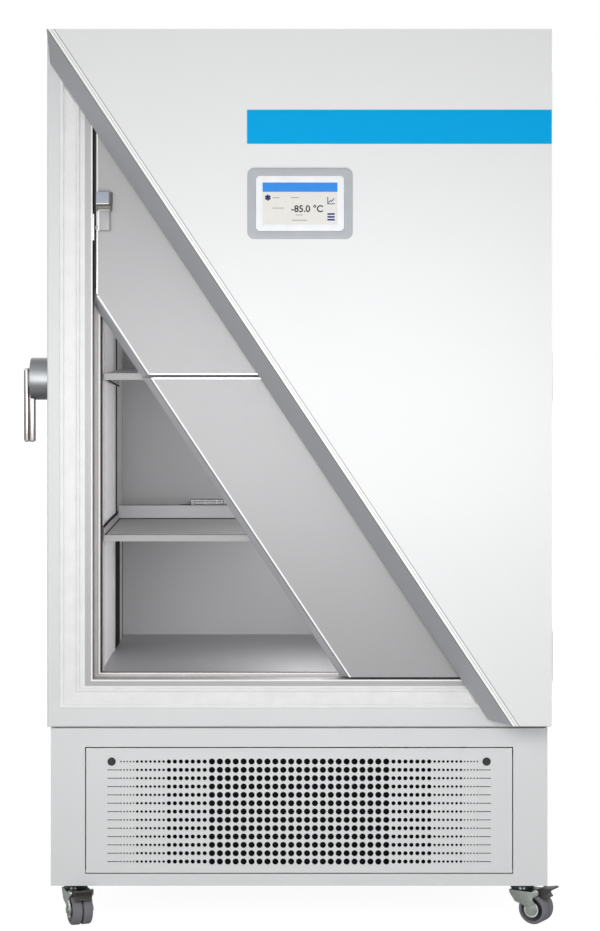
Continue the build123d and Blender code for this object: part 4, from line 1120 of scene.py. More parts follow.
@dataclass(frozen=True)
class Display:
    """Touch display with its bezel, surround and what the screen shows."""

    corner: float = 15.0 * MM
    inner_corner: float = 9.0 * MM
    header: float = 20.5 * MM
    layer: float = 0.05 * MM
    flake_inset: tuple[float, float] = (11.5 * MM, 33.0 * MM)
    flake_reach: float = 7.0 * MM
    flake_thickness: float = 1.2 * MM
    flake_barb: float = 2.6 * MM
    menu_inset: Span = Span.mm(6.0, 22.0)
    menu_foot: float = 8.0 * MM
    menu_pitch: float = 6.2 * MM
    menu_bar: float = 3.8 * MM
    graph_drop: Span = Span.mm(31.5, 47.5)
    graph_line: float = 1.8 * MM
    trace: tuple[tuple[float, float], ...] = ((2.5, 3.5), (6.5, 8.5), (9.5, 6.0), (14.5, 13.0))
    words: tuple[tuple[float, float, float], ...] = (
        (22.0, 15.0, 34.0), (62.0, 17.0, 34.0), (22.0, 25.0, 56.5), (72.0, 15.0, 71.5), (64.0, 33.0, 83.0))
    word_height: float = 1.6 * MM
    reading_size: float = 20.4 * MM
    reading_weight: float = 0.42 * MM
    reading_inset: tuple[float, float] = (97.0 * MM, 64.0 * MM)

    def build(self) -> None:
        """Make the bezel, the surround and the screen."""
        bezel = Extent.of("display_bezel")
        module = Extent.of("display_module")
        screen = Extent.of("display_screen")
        self.frame("display_frame", bezel, self.corner, module, self.inner_corner, bezel.y,
                   GREY_PLASTIC, "grey_plastic", "display_bezel", 2.0 * MM)
        self.frame("screen_surround", module, self.inner_corner, screen, 1.0 * MM,
                   Span(module.y.low, module.y.low + 1.2 * MM), SCREEN_SURROUND, "white_plastic",
                   "display_module", 0.4 * MM)
        self.light_screen(screen)

    def frame(self, name: str, outer: Extent, corner: float, inner: Extent, inner_corner: float, depth: Span,
              finish: Finish, slot: str, node: str, edge: float) -> None:
        """A flat frame with rounded corners and a softened front edge.

        Args:
            name: The piece's name.
            outer: Extent whose outline is the outside.
            corner: Corner radius outside.
            inner: Extent whose outline is the opening.
            inner_corner: Corner radius of the opening.
            depth: Front and back of the frame.
            finish: Its finish.
            slot: Its material slot.
            node: The frame node it stands for.
            edge: Rounding of the front edges.
        """
        form = Form()
        for extent, radius in ((outer, corner), (inner, inner_corner)):
            points = rounded_rectangle(extent.x, extent.z, radius)
            form.outline(((x, depth.high, z) for x, z in points), closed=True)
        made = bmesh.ops.bridge_loops(form.bm, edges=list(form.bm.edges))
        grown = bmesh.ops.extrude_face_region(form.bm, geom=made["faces"])["geom"]
        carried = [item for item in grown if isinstance(item, bmesh.types.BMVert)]
        bmesh.ops.translate(form.bm, verts=carried, vec=(0.0, -depth.length, 0.0))
        form.soften(carried, edge, 3)
        form.piece(name, finish, "outer_door", slot, (node,))

    def light_screen(self, screen: Extent) -> None:
        """The lit screen, its header, icons and temperature reading.

        Args:
            screen: The screen's extent.
        """
        y = screen.y.low
        back = Form()
        back.block((screen.x.low, y, screen.z.low), (screen.x.high, screen.y.high, screen.z.high))
        back.piece("screen_pane", PANE_WHITE, "outer_door", "display_face", ("display_screen",))
        header = Form()
        header.block((screen.x.low, y - self.layer, screen.z.high - self.header),
                     (screen.x.high, y, screen.z.high))
        header.piece("screen_header", PANE_BLUE, "outer_door", "display_face")
        icons = Form()
        self.draw_flake(icons, screen)
        self.draw_graph(icons, screen)
        icons.piece("screen_icons", PANE_NAVY, "outer_door", "display_face")
        self.rule_words(screen)
        self.write_reading(screen)

    def draw_flake(self, icons: Form, screen: Extent) -> None:
        """Snowflake of three crossed arms with two barbs each.

        Args:
            icons: Form for the sign.
            screen: The screen's extent.
        """
        x, y, z = screen.x.low + self.flake_inset[0], screen.y.low, screen.z.high - self.flake_inset[1]
        reach, thick, barb = self.flake_reach, self.flake_thickness, self.flake_barb
        for turn in range(3):
            arm = icons.block((x - reach, y - self.layer, z - thick), (x + reach, y, z + thick))
            for side in (-1, 1):
                tip = x + side * reach * 0.6
                arm += icons.block((tip - thick, y - self.layer, z - barb), (tip + thick, y, z + barb))
            icons.turn(arm, math.radians(90.0 + 60.0 * turn), (x, y, z), "Y")

    def draw_graph(self, icons: Form, screen: Extent) -> None:
        """Three menu bars, and a graph's two axes with its trace.

        Args:
            icons: Form for the signs.
            screen: The screen's extent.
        """
        y = screen.y.low
        menu = Span(screen.x.high - self.menu_inset.high, screen.x.high - self.menu_inset.low)
        for line in range(3):
            z = screen.z.low + self.menu_foot + self.menu_pitch * line
            icons.block((menu.low, y - self.layer, z), (menu.high, y, z + self.menu_bar))
        graph = Span(screen.z.high - self.graph_drop.high, screen.z.high - self.graph_drop.low)
        icons.block((menu.low, y - self.layer, graph.low), (menu.low + self.graph_line, y, graph.high))
        icons.block((menu.low, y - self.layer, graph.low), (menu.high, y, graph.low + self.graph_line))
        half = self.graph_line / 2
        for (x0, z0), (x1, z1) in zip(self.trace, self.trace[1:]):
            start = Vector((menu.low + x0 * MM, y - self.layer / 2, graph.low + z0 * MM))
            end = Vector((menu.low + x1 * MM, y - self.layer / 2, graph.low + z1 * MM))
            length = (end - start).length
            bar = icons.block((start.x, y - self.layer, start.z - half),
                              (start.x + length, y, start.z + half))
            icons.turn(bar, -math.atan2(end.z - start.z, end.x - start.x), start, "Y")

    def rule_words(self, screen: Extent) -> None:
        """Plain bars in place of the screen's words.

        Args:
            screen: The screen's extent.
        """
        faint = Form()
        for left, width, drop in self.words:
            x, z = screen.x.low + left * MM, screen.z.high - drop * MM
            faint.block((x, screen.y.low - self.layer, z),
                        (x + width * MM, screen.y.low, z + self.word_height))
        faint.piece("screen_lines", PANE_FAINT, "outer_door", "display_face")

    def write_reading(self, screen: Extent) -> None:
        """The temperature reading as thin raised figures.

        Args:
            screen: The screen's extent.
        """
        curve = bpy.data.curves.new("reading", "FONT")
        curve.body = "-85.0 °C"
        curve.size = self.reading_size
        curve.extrude = self.layer
        curve.offset = self.reading_weight
        curve.align_x = "CENTER"
        source = bpy.data.objects.new("reading_source", curve)
        bpy.context.scene.collection.objects.link(source)
        bpy.context.view_layer.update()
        mesh = bpy.data.meshes.new_from_object(source.evaluated_get(bpy.context.evaluated_depsgraph_get()))
        bpy.data.objects.remove(source)
        bpy.data.curves.remove(curve)
        across, drop = self.reading_inset
        place = Matrix.Translation((screen.x.low + across, screen.y.low - self.layer, screen.z.high - drop))
        mesh.transform(place @ Matrix.Rotation(math.radians(90.0), 4, "X"))
        form = Form()
        form.bm.from_mesh(mesh)
        bpy.data.meshes.remove(mesh)
        form.piece("temperature_reading", PANE_INK, "outer_door", "display_face")


def rounded_rectangle(x: Span, z: Span, radius: float, steps: int = 8) -> list[tuple[float, float]]:
    """Outline of a rectangle with round corners.

    Args:
        x: Its width.
        z: Its height.
        radius: Corner radius.
        steps: Points on each corner's arc, less one.

    Returns:
        The outline's points, anticlockwise from the lower right corner.
    """
    points = []
    corners = ((x.high, z.low, 1, 1, -90), (x.high, z.high, 1, -1, 0), (x.low, z.high, -1, -1, 90),
               (x.low, z.low, -1, 1, 180))
    for cx, cz, side, rise, first in corners:
        for step in range(steps + 1):
            turn = math.radians(first + 90.0 * step / steps)
            points.append((cx - side * radius + radius * math.cos(turn),
                           cz + rise * radius + radius * math.sin(turn)))
    return points


# Inner doors


@dataclass(frozen=True)
class InnerDoors:
    """Painted highlights and shade lines along each inner door's cut and edges, painted shade in the gap
    beside the upper door, and the latch.
    """

    bevel_run: float = 0.5465
    thickness: float = 38.0 * MM
    # Width of the painted highlight strips along the doors' folded edges.
    trim: float = 2.6 * MM
    plate_tall: float = 44.0 * MM
    cap_tall: float = 43.0 * MM
    mouth_tall: float = 15.0 * MM
    cap_wide: float = 29.0 * MM
    cap_rounding: float = 1.6 * MM
    latch_pin_rise: float = 9.0 * MM
    latch_pin_radius: float = 3.0 * MM
    leaf: float = 30.0 * MM
    knuckle_radius: float = 4.0 * MM
    plate_thickness: float = 4.0 * MM
    plate_inset: float = 5.5 * MM
    eye_radius: float = 5.2 * MM
    hook_rise: Span = Span.mm(4.0, 11.0)
    line_inset: float = 0.9 * MM

    def build(self, nodes: dict[str, bpy.types.Object]) -> None:
        """Make the painted highlight and shade lines, the painted shade in the upper door's gap, and the
        latch.

        Args:
            nodes: The frame's nodes by name.
        """
        ends = {name: cut_edge(nodes[f"{name}_inner_door_section_cover"]) for name in ("upper", "lower")}
        skins = {name: Extent.of(f"{name}_inner_door_skin") for name in ends}
        for name, line in ends.items():
            self.lay_cut(name, line)
        self.highlight_upper_edges(skins["upper"], ends["upper"])
        self.highlight_lower_edge(skins["lower"], ends["lower"])
        self.make_cap()
        self.hang_leaves()
        self.make_latch()

    def lay_cut(self, name: str, ends: tuple[Vector, Vector]) -> None:
        """A painted highlight along the cut's front edge, a painted shade line on its slope by the front, and
        a thin painted line by its back that stands in for the light along that edge.

        Args:
            name: Which inner door.
            ends: Top and bottom of the cut's front edge.
        """
        body = f"{name}_inner_door"
        # A white strip along the cut's front edge: painted highlight.
        bright = Form()
        bright.strip(ends, Span.mm(0.2, 4.6), ends[0].y, 0.4 * MM)
        bright.piece(f"{name}_cut_edge", LINE_WHITE, body, "stainless")
        dark = Form()
        dark.slope_strip(ends, Span.mm(0.3, 5.0), self.bevel_run)
        dark.piece(f"{name}_cut_shade", LINE_GREY, body, "grey_section")
        # A thin line by the cut's back edge, a little darker than the cut paint: painted light along that
        # edge.
        pale = Form()
        pale.slope_strip(ends, Span(self.thickness - 4.0 * MM, self.thickness - 0.4 * MM), self.bevel_run)
        pale.piece(f"{name}_cut_rim_light_line", LINE_PALE, body, "grey_section")

    def highlight_upper_edges(self, skin: Extent, ends: tuple[Vector, Vector]) -> None:
        """Painted highlights along the upper door's folded edges at its left and foot, and a dark brown block
        of painted shade in the gap beside its left edge.

        Args:
            skin: The door skin's extent.
            ends: Top and bottom of the cut's front edge.
        """
        y = skin.y.low
        # Thin films of bright steel along the folded edges: painted highlights.
        form = Form()
        start = ends[0].z + 4.0 * MM
        form.block((skin.x.low, y - FILM, start), (skin.x.low + self.trim, y, skin.z.high))
        form.block((ends[1].x + 5.0 * MM, y - FILM, skin.z.low), (skin.x.high, y, skin.z.low + self.trim))
        form.piece("upper_door_edge_highlight", BRIGHT_EDGE, "upper_inner_door", "stainless")
        # A dark brown block in the gap beside the door's left edge: painted shade.
        seal = Form()
        seal.block((skin.x.low - 7.0 * MM, skin.y.high - 16.0 * MM, start + 12.0 * MM),
                   (skin.x.low - 0.2 * MM, skin.y.high, skin.z.high - 6.0 * MM))
        seal.piece("upper_door_gap_shade", SHADE_BROWN, "upper_inner_door", "seal_rubber")

    def highlight_lower_edge(self, skin: Extent, ends: tuple[Vector, Vector]) -> None:
        """Painted highlight along the folded edge at the head of the lower door.

        Args:
            skin: The door skin's extent.
            ends: Top and bottom of the cut's front edge.
        """
        # A thin film of bright steel along the folded edge: painted highlight.
        form = Form()
        form.block((ends[0].x + 5.0 * MM, skin.y.low - FILM, skin.z.high - self.trim),
                   (skin.x.high, skin.y.low, skin.z.high))
        form.piece("lower_door_edge_highlight", BRIGHT_EDGE, "lower_inner_door", "stainless")

    def make_cap(self) -> None:
        """Rounded latch cap, open at its foot between two cheeks, with its pin; the mouth is painted dark
        taupe as shade under the cap, and a white strip paints a highlight along the cap's lower front edge.
        """
        plate = Extent.of("inner_latch_plate")
        fittings = Extent.of("upper_inner_door_fittings")
        left, front, back = fittings.x.low, fittings.y.low, fittings.y.high
        foot = plate.z.low + self.plate_tall
        mouth, top = foot + self.mouth_tall, foot + self.cap_tall
        cap = Form()
        shell = cap.block((left, front, mouth), (left + self.cap_wide, back, top))
        cap.soften([vert for vert in shell if vert.co.y < back - 1.0 * MM], self.cap_rounding, 3)
        cap.piece("latch_cap", LATCH_PLASTIC, "upper_inner_door", "grey_plastic",
                  ("upper_inner_door_fittings",))
        # The cheeks, the pin and a thin dark sheet at the back of the mouth, all in dark taupe: painted shade
        # under the cap.
        dark = Form()
        cheek = ((29.1 * MM, back), (29.1 * MM, front + 1.0 * MM), (31.0 * MM, front + 2.0 * MM),
                 (36.0 * MM, back))
        side = dark.plate([(left + x, y, mouth) for x, y in cheek], (0.0, 0.0, top - MM - mouth))
        dark.soften([vert for vert in side if vert.co.z > mouth + MM], 1.0 * MM, 2)
        low_cheek = ((31.9 * MM, back), (31.9 * MM, front + 4.0 * MM), (35.0 * MM, back))
        dark.plate([(left + x, y, foot) for x, y in low_cheek], (0.0, 0.0, mouth - foot))
        dark.block((left, front + 5.0 * MM, foot), (left + 1.9 * MM, back, mouth))
        dark.block((left + 2.0 * MM, back - FILM, foot + 0.5 * MM), (left + 31.8 * MM, back, mouth))
        pin = ((back + front) / 2, foot + self.latch_pin_rise)
        dark.rod((left + 1.0 * MM, *pin), (left + 33.0 * MM, *pin), self.latch_pin_radius, 20)
        dark.piece("latch_mouth", SHADED_TAUPE_PLASTIC, "upper_inner_door", "grey_plastic")
        # A white strip along the cap's lower front edge: painted highlight.
        lip = Form()
        lip.block((left + 1.0 * MM, front - 0.1 * MM, mouth),
                  (left + 28.0 * MM, front + 3.0 * MM, mouth + 2.2 * MM))
        lip.piece("latch_lip_highlight", LINE_WHITE, "upper_inner_door", "grey_plastic")

    def hang_leaves(self) -> None:
        """Hinge leaves and knuckles on the upper door's right edge."""
        fittings = Extent.of("upper_inner_door_fittings")
        form = Form()
        for low in (fittings.z.low, fittings.z.high - self.leaf):
            high = low + self.leaf
            form.block((fittings.x.high - 27.0 * MM, fittings.y.high - 2.0 * MM, low),
                       (fittings.x.high - 7.0 * MM, fittings.y.high, high))
            place = (fittings.x.high - self.knuckle_radius, fittings.y.high - self.knuckle_radius)
            form.rod((*place, low), (*place, high), self.knuckle_radius, 24)
        form.piece("upper_inner_hinge_leaves", BRIGHT_EDGE, "upper_inner_door", "stainless")

    def make_latch(self) -> None:
        """Lifting plate with its eye and hook, a painted highlight along its left and top edges, and painted
        shade along its right and lower edges.
        """
        plate = Extent.of("inner_latch_plate")
        left = plate.x.low + self.plate_inset
        lift = Form()
        front = plate.y.high - self.plate_thickness
        body = lift.block((left, front, plate.z.low), (plate.x.high, plate.y.high, plate.z.high - 6.0 * MM))
        lift.soften(body, 1.0 * MM, 2)
        pivot_y, pivot_z = plate.y.low + self.eye_radius, plate.z.high - self.eye_radius
        # The eye is in dark taupe as painted shade under the cap.
        eye = Form()
        eye.rod((left, pivot_y, pivot_z), (plate.x.high, pivot_y, pivot_z), self.eye_radius, 24)
        eye.piece("latch_eye", SHADED_TAUPE_PLASTIC, "inner_latch", "grey_plastic")
        hook = lift.block((plate.x.low, front, plate.z.low + self.hook_rise.low),
                          (left + 1.0 * MM, plate.y.high, plate.z.low + self.hook_rise.high))
        lift.soften(hook, 1.0 * MM, 2)
        lift.piece("latch_plate", DOOR_STEEL, "inner_latch", "stainless", ("inner_latch_plate",))
        high = pivot_z - 7.0 * MM
        right = plate.x.high - self.line_inset
        # White strips along the plate's left and top edges: painted highlight.
        bright = Form()
        bright.block((left + 0.8 * MM, front - FILM, plate.z.low + 1.2 * MM), (left + 3.8 * MM, front, high))
        bright.block((left + 0.8 * MM, front - FILM, high), (right, front, high + 1.6 * MM))
        bright.piece("latch_plate_highlight", LINE_WHITE, "inner_latch", "stainless")
        dark = Form()
        dark.block((plate.x.high - 3.4 * MM, front - FILM, plate.z.low + 1.2 * MM),
                   (right, front, high))
        dark.block((left + 3.8 * MM, front - FILM, plate.z.low + self.line_inset),
                   (plate.x.high - 3.4 * MM, front, plate.z.low + 2.4 * MM))
        dark.piece("latch_plate_shade", LINE_GREY, "inner_latch", "stainless")


# Chamber


@dataclass(frozen=True)
class Chamber:
    """The chamber's fittings: slotted rails, the shelves' folds and the sensor guard, with painted highlights
    and painted shade along the rims, walls and shelves, and pale sheets that paint the side walls lighter.
    """

    centre: float
    slot_pitch: float = 37.0 * MM
    slot: Opening = Opening(3.5 * MM, 7.0 * MM)
    wide_rail: Span = Span.mm(384.0, 640.0)
    rail_width: float = 22.0 * MM
    rail_thickness: float = 3.0 * MM
    room_half: float = 442.0 * MM
    rebate_half: float = 458.0 * MM
    rebate_low: float = 10.0 * MM
    rebate_high: float = 16.0 * MM
    ledge_depth: float = 44.0 * MM
    slot_place: float = 600.0 * MM
    corner_line: Span = Span.mm(424.0, 462.0)
    channel: Span = Span.mm(412.0, 548.0)
    seam: Span = Span.mm(620.0, 638.0)
    front_line: Span = Span.mm(50.5, 76.0)
    shelf_tall: float = 14.0 * MM
    shelf_tops: tuple[float, float, float] = (307.0 * MM, 668.0 * MM, 977.0 * MM)
    gusset: Span = Span.mm(56.0, 478.0)
    gusset_tall: float = 28.0 * MM
    upstand_tall: float = 34.0 * MM
    fold_tall: float = 15.0 * MM
    sheet: float = 1.5 * MM

    def build(self) -> None:
        """Make the rails, the painted light and shade on the walls and rims, the shelf edges and the guard.
        """
        supports = Extent.of("shelf_supports")
        face = Extent.of("base_front_frame").y.low
        self.make_rails(supports, face)
        self.line_sides(supports, face)
        self.line_rims(supports, Extent.of("cabinet_liner"))
        self.edge_shelves(supports, face)
        Guard().build()

    def make_rails(self, supports: Extent, face: float) -> None:
        """Slotted rails on both walls, the back ones wide, and the brackets under the shelves.

        Args:
            supports: Extent of the solid shelf supports.
            face: Depth of the cabinet's front.
        """
        count = int(supports.z.length / self.slot_pitch)
        margin = (supports.z.length - count * self.slot_pitch) / 2
        rows = [supports.z.low]
        rows += [supports.z.low + margin + self.slot_pitch * index for index in range(count + 1)]
        rows.append(supports.z.high)
        front = Span(supports.y.low, supports.y.low + self.rail_width)
        back = Span(face + self.wide_rail.low, face + self.wide_rail.high)
        form = Form()
        for y, middle in ((front, front.middle), (back, face + self.slot_place)):
            for x in (supports.x.low, supports.x.high - self.rail_thickness):
                rail = Sheet([0.0, y.length], rows)
                rail.fill({(0, row + 1): (self.slot, middle - y.low, (rows[row + 1] + rows[row + 2]) / 2)
                           for row in range(count)})
                rail.thicken(Span(0.0, self.rail_thickness))
                turned = Matrix(((0, 1, 0, x), (1, 0, 0, y.low), (0, 0, 1, 0), (0, 0, 0, 1)))
                bmesh.ops.transform(rail.bm, matrix=turned, verts=rail.bm.verts)
                form.take(rail)
        self.add_brackets(form, supports, (front.low, supports.y.high - self.rail_width))
        form.piece("shelf_rails", RAIL_STEEL, "cabinet", "stainless", ("shelf_supports",))

    def add_brackets(self, form: Form, supports: Extent, depths: Sequence[float]) -> None:
        """A small folded bracket on every rail under each shelf.

        Args:
            form: Form for the brackets.
            supports: Extent of the solid shelf supports.
            depths: Depth at which each rail starts.
        """
        reach, tall, sheet = 11.0 * MM, 8.0 * MM, 2.0 * MM
        for level in self.shelf_tops:
            top = supports.z.low + level - self.shelf_tall
            for y in depths:
                for side, wall in ((1, supports.x.low + self.rail_thickness),
                                   (-1, supports.x.high - self.rail_thickness)):
                    for wide, high in ((reach, sheet), (sheet, tall)):
                        x = sorted((wall, wall + side * wide))
                        form.block((x[0], y, top - high), (x[1], y + self.rail_width, top))

    def line_sides(self, supports: Extent, face: float) -> None:
        """Pale sheets on the side walls between the rails, a lighter copy of the wall steel that paints the
        side walls brighter than the back wall, and dark lines of painted shade that run down the walls.

        Args:
            supports: Extent of the solid shelf supports.
            face: Depth of the cabinet's front.
        """
        pale, dark = Form(), Form()
        split = supports.z.low + self.shelf_tops[0] - self.shelf_tall
        for side in (-1, 1):
            wall = self.centre + side * self.room_half
            on_wall = sorted((wall, wall - side * 0.5 * MM))
            inner = wall - side * self.rail_thickness
            on_rail = sorted((inner, inner - side * FILM))
            pale.block((on_wall[0], supports.y.low + self.rail_width + 2.0 * MM, supports.z.low + 1.0 * MM),
                       (on_wall[1], face + self.wide_rail.low - 2.0 * MM, supports.z.high - 1.0 * MM))
            lines = ((on_wall, self.front_line, supports.z),
                     (on_rail, self.corner_line, Span(split + self.shelf_tall + 6.0 * MM, supports.z.high)),
                     (on_rail, self.channel, Span(supports.z.low, split)),
                     (on_rail, self.seam, Span(supports.z.low, split)))
            for x, depth, z in lines:
                dark.block((x[0], face + depth.low, z.low), (x[1], face + depth.high, z.high))
        # The side sheets paint the side walls lighter than the back wall.
        pale.piece("side_wall_light_sheets", LIT_SIDE_STEEL, "cabinet", "stainless")
        # The dark lines are painted shade in the channels and gaps of the walls and rails.
        dark.piece("wall_shade_lines", LINE_DARK, "cabinet", "stainless")

    def line_rims(self, supports: Extent, liner: Extent) -> None:
        """Painted highlights and painted shade where the collar, the rebate and the ledge are folded, and a
        taupe band on the ledge.

        Args:
            supports: Extent of the solid shelf supports.
            liner: The liner's extent.
        """
        rebate = Span(supports.z.low - self.rebate_low, supports.z.high + self.rebate_high)
        collar_y = liner.y.low
        ledge_y = collar_y + self.ledge_depth
        grown = 3.3 * MM
        # White strips along the collar's edge and the ledge's inner edge: painted highlights.
        collar = Form()
        collar.ring(self.rebate_half + grown, Span(rebate.low - grown, rebate.high + grown), grown,
                    Span(collar_y - FILM, collar_y), self.centre)
        ledge = self.rebate_half - 9.6 * MM
        inset = 9.6 * MM
        collar.ring(ledge, Span(rebate.low + 0.6 * inset, rebate.high - inset), 3.8 * MM,
                    Span(ledge_y - FILM, ledge_y), self.centre)
        collar.piece("chamber_rim_highlights", LINE_WHITE, "cabinet", "stainless")
        shade = Form()
        for side in (-1, 1):
            wall = sorted(self.centre + side * half for half in (self.rebate_half, self.rebate_half - FILM))
            shade.block((wall[0], collar_y + 0.5 * MM, rebate.low), (wall[1], ledge_y, rebate.high))
        shade.piece("chamber_rim_shade", SHADE_BROWN, "cabinet", "seal_rubber")
        seal = Form()
        seal.ring(self.rebate_half - 0.4 * MM, Span(rebate.low + 0.4 * MM, rebate.high - 0.4 * MM), 6.0 * MM,
                  Span(ledge_y - 0.6 * FILM, ledge_y), self.centre)
        seal.piece("ledge_band", TAUPE_SEAL, "cabinet", "seal_rubber")
        edge = Form()
        edge.ring(self.room_half + 2.0 * MM, Span(supports.z.low - 1.0 * MM, supports.z.high + 2.0 * MM),
                  1.8 * MM, Span(ledge_y - FILM, ledge_y), self.centre)
        edge.piece("ledge_shade", LINE_DARK, "cabinet", "seal_rubber")

    def edge_shelves(self, supports: Extent, face: float) -> None:
        """Folds at the shelves' ends, the lower shelf's back edge and the lines round their fronts, with
        painted shade lines along the gussets, folds, upstand and shelf tops.

        Args:
            supports: Extent of the solid shelf supports.
            face: Depth of the cabinet's front.
        """
        shelves = Extent.of("shelves")
        pale, dark, front = Form(), Form(), Form()
        for index, level in enumerate(self.shelf_tops):
            top = supports.z.low + level
            foot = top - self.shelf_tall
            for side, x in ((-1, shelves.x.low), (1, shelves.x.high)):
                if index == 0:
                    self.fold_side(pale, dark, x, side, top, face)
                    continue
                tip = foot - self.gusset_tall
                corners = [(x, face + self.gusset.low, foot), (x, face + self.gusset.high, foot),
                           (x, face + self.gusset.high, tip)]
                pale.plate(corners, (-side * 1.2 * MM, 0.0, 0.0))
                line = [(x - side * 1.3 * MM, face + y, z) for y, z in (
                    (self.gusset.low, foot), (self.gusset.high, tip), (self.gusset.high, tip + 4.0 * MM),
                    (self.gusset.low + 60.0 * MM, foot))]
                dark.plate(line, (-side * FILM, 0.0, 0.0))
            front.block((shelves.x.low, shelves.y.low - FILM, top - self.shelf_tall - 0.5 * MM),
                        (shelves.x.high, shelves.y.low, top - 0.8 * MM))
            dark.block((shelves.x.low + 0.5 * MM, shelves.y.low + 0.2 * MM, top),
                       (shelves.x.high - 0.5 * MM, shelves.y.low + 9.0 * MM, top + FILM))
        top = supports.z.low + self.shelf_tops[0]
        y = face + self.gusset.high + 1.0 * MM
        pale.block((shelves.x.low, y, top), (shelves.x.high, y + self.sheet, top + self.upstand_tall))
        dark.block((shelves.x.low, y - FILM, top), (shelves.x.high, y, top + 2.2 * MM))
        dark.block((shelves.x.low, y - FILM, top + self.upstand_tall - 1.2 * MM),
                   (shelves.x.high, y, top + self.upstand_tall))
        pale.piece("shelf_gussets", WALL_STEEL, "cabinet", "stainless")
        # The dark lines are painted shade along the gussets, the folds, the upstand and the shelves' tops.
        dark.piece("shelf_shade_lines", LINE_DARK, "cabinet", "stainless")
        front.piece("shelf_fronts", LINE_PALE, "cabinet", "stainless")

    def fold_side(self, pale: Form, dark: Form, x: float, side: int, top: float, face: float) -> None:
        """The upright fold along one end of the lower shelf, with painted shade lines over and under it.

        Args:
            pale: Form for the fold.
            dark: Form for the painted shade lines.
            x: The shelf's end.
            side: -1 on the left, 1 on the right.
            top: Height of the shelf's top.
            face: Depth of the cabinet's front.
        """
        y = Span(face + self.gusset.low, face + self.gusset.high)
        fold = sorted((x, x - side * 1.2 * MM))
        pale.block((fold[0], y.low, top), (fold[1], y.high, top + self.fold_tall))
        line = sorted((x + side * 2.0 * MM, x + side * 2.3 * MM))
        dark.block((line[0], y.low, top + self.fold_tall), (line[1], y.high, top + self.fold_tall + 5.0 * MM))
        foot = sorted((x - side * 1.3 * MM, x - side * 4.3 * MM))
        dark.block((foot[0], y.low, top), (foot[1], y.high, top + FILM))


@dataclass(frozen=True)
class Guard:
    """Folded guard over the sensor, with two rows of small round holes, the sensor's dark lead, and painted
    shade behind the holes and along its top edge.
    """

    hole: Opening = Opening(1.9 * MM, 1.9 * MM, 12)
    pitch: float = 6.5 * MM
    row_pitch: float = 7.8 * MM
    sheet: float = 1.5 * MM

    def build(self) -> None:
        """Make the guard, the painted shade behind its holes and along its top edge, and the lead."""
        box = Extent.of("sensor_guard")
        count = int((box.x.length - 8.0 * MM) / self.pitch)
        margin = (box.x.length - count * self.pitch) / 2
        columns = [box.x.low] + [box.x.low + margin + self.pitch * index for index in range(count + 1)]
        columns.append(box.x.high)
        rows = [box.z.low, box.z.middle - self.row_pitch, box.z.middle, box.z.middle + self.row_pitch,
                box.z.high]
        guard = Sheet(columns, rows)
        guard.fill({(column, row): (self.hole, (columns[column] + columns[column + 1]) / 2,
                                    (rows[row] + rows[row + 1]) / 2)
                    for column in range(1, count + 1) for row in (1, 2)})
        guard.thicken(Span(box.y.low, box.y.low + self.sheet))
        y0, y1 = box.y.low + self.sheet, box.y.high
        for z in (box.z.low, box.z.high - self.sheet):
            guard.block((box.x.low, y0, z), (box.x.high, y1, z + self.sheet))
        for x in (box.x.low, box.x.high - self.sheet):
            guard.block((x, y0, box.z.low + self.sheet), (x + self.sheet, y1, box.z.high - self.sheet))
        guard.piece("sensor_guard_cover", BRIGHT_EDGE, "cabinet", "stainless", ("sensor_guard",))
        # A dark sheet behind the holes and a dark strip along the guard's top edge are painted shade; the rod
        # is the sensor's lead.
        dark = Form()
        dark.block((box.x.low + self.sheet, y0 + 1.0 * MM, box.z.low + self.sheet),
                   (box.x.high - self.sheet, y0 + 1.6 * MM, box.z.high - self.sheet))
        dark.block((box.x.low, box.y.low - FILM, box.z.high - 2.4 * MM), (box.x.high, box.y.low, box.z.high))
        dark.rod((box.x.low - 30.0 * MM, y1 - 4.5 * MM, box.z.low + 4.0 * MM),
                 (box.x.low + 8.0 * MM, y1 - 4.5 * MM, box.z.low + 6.0 * MM), 2.0 * MM, 16)
        dark.piece("sensor_lead_and_shade", BLACK_RUBBER, "cabinet", "seal_rubber")


# Handle


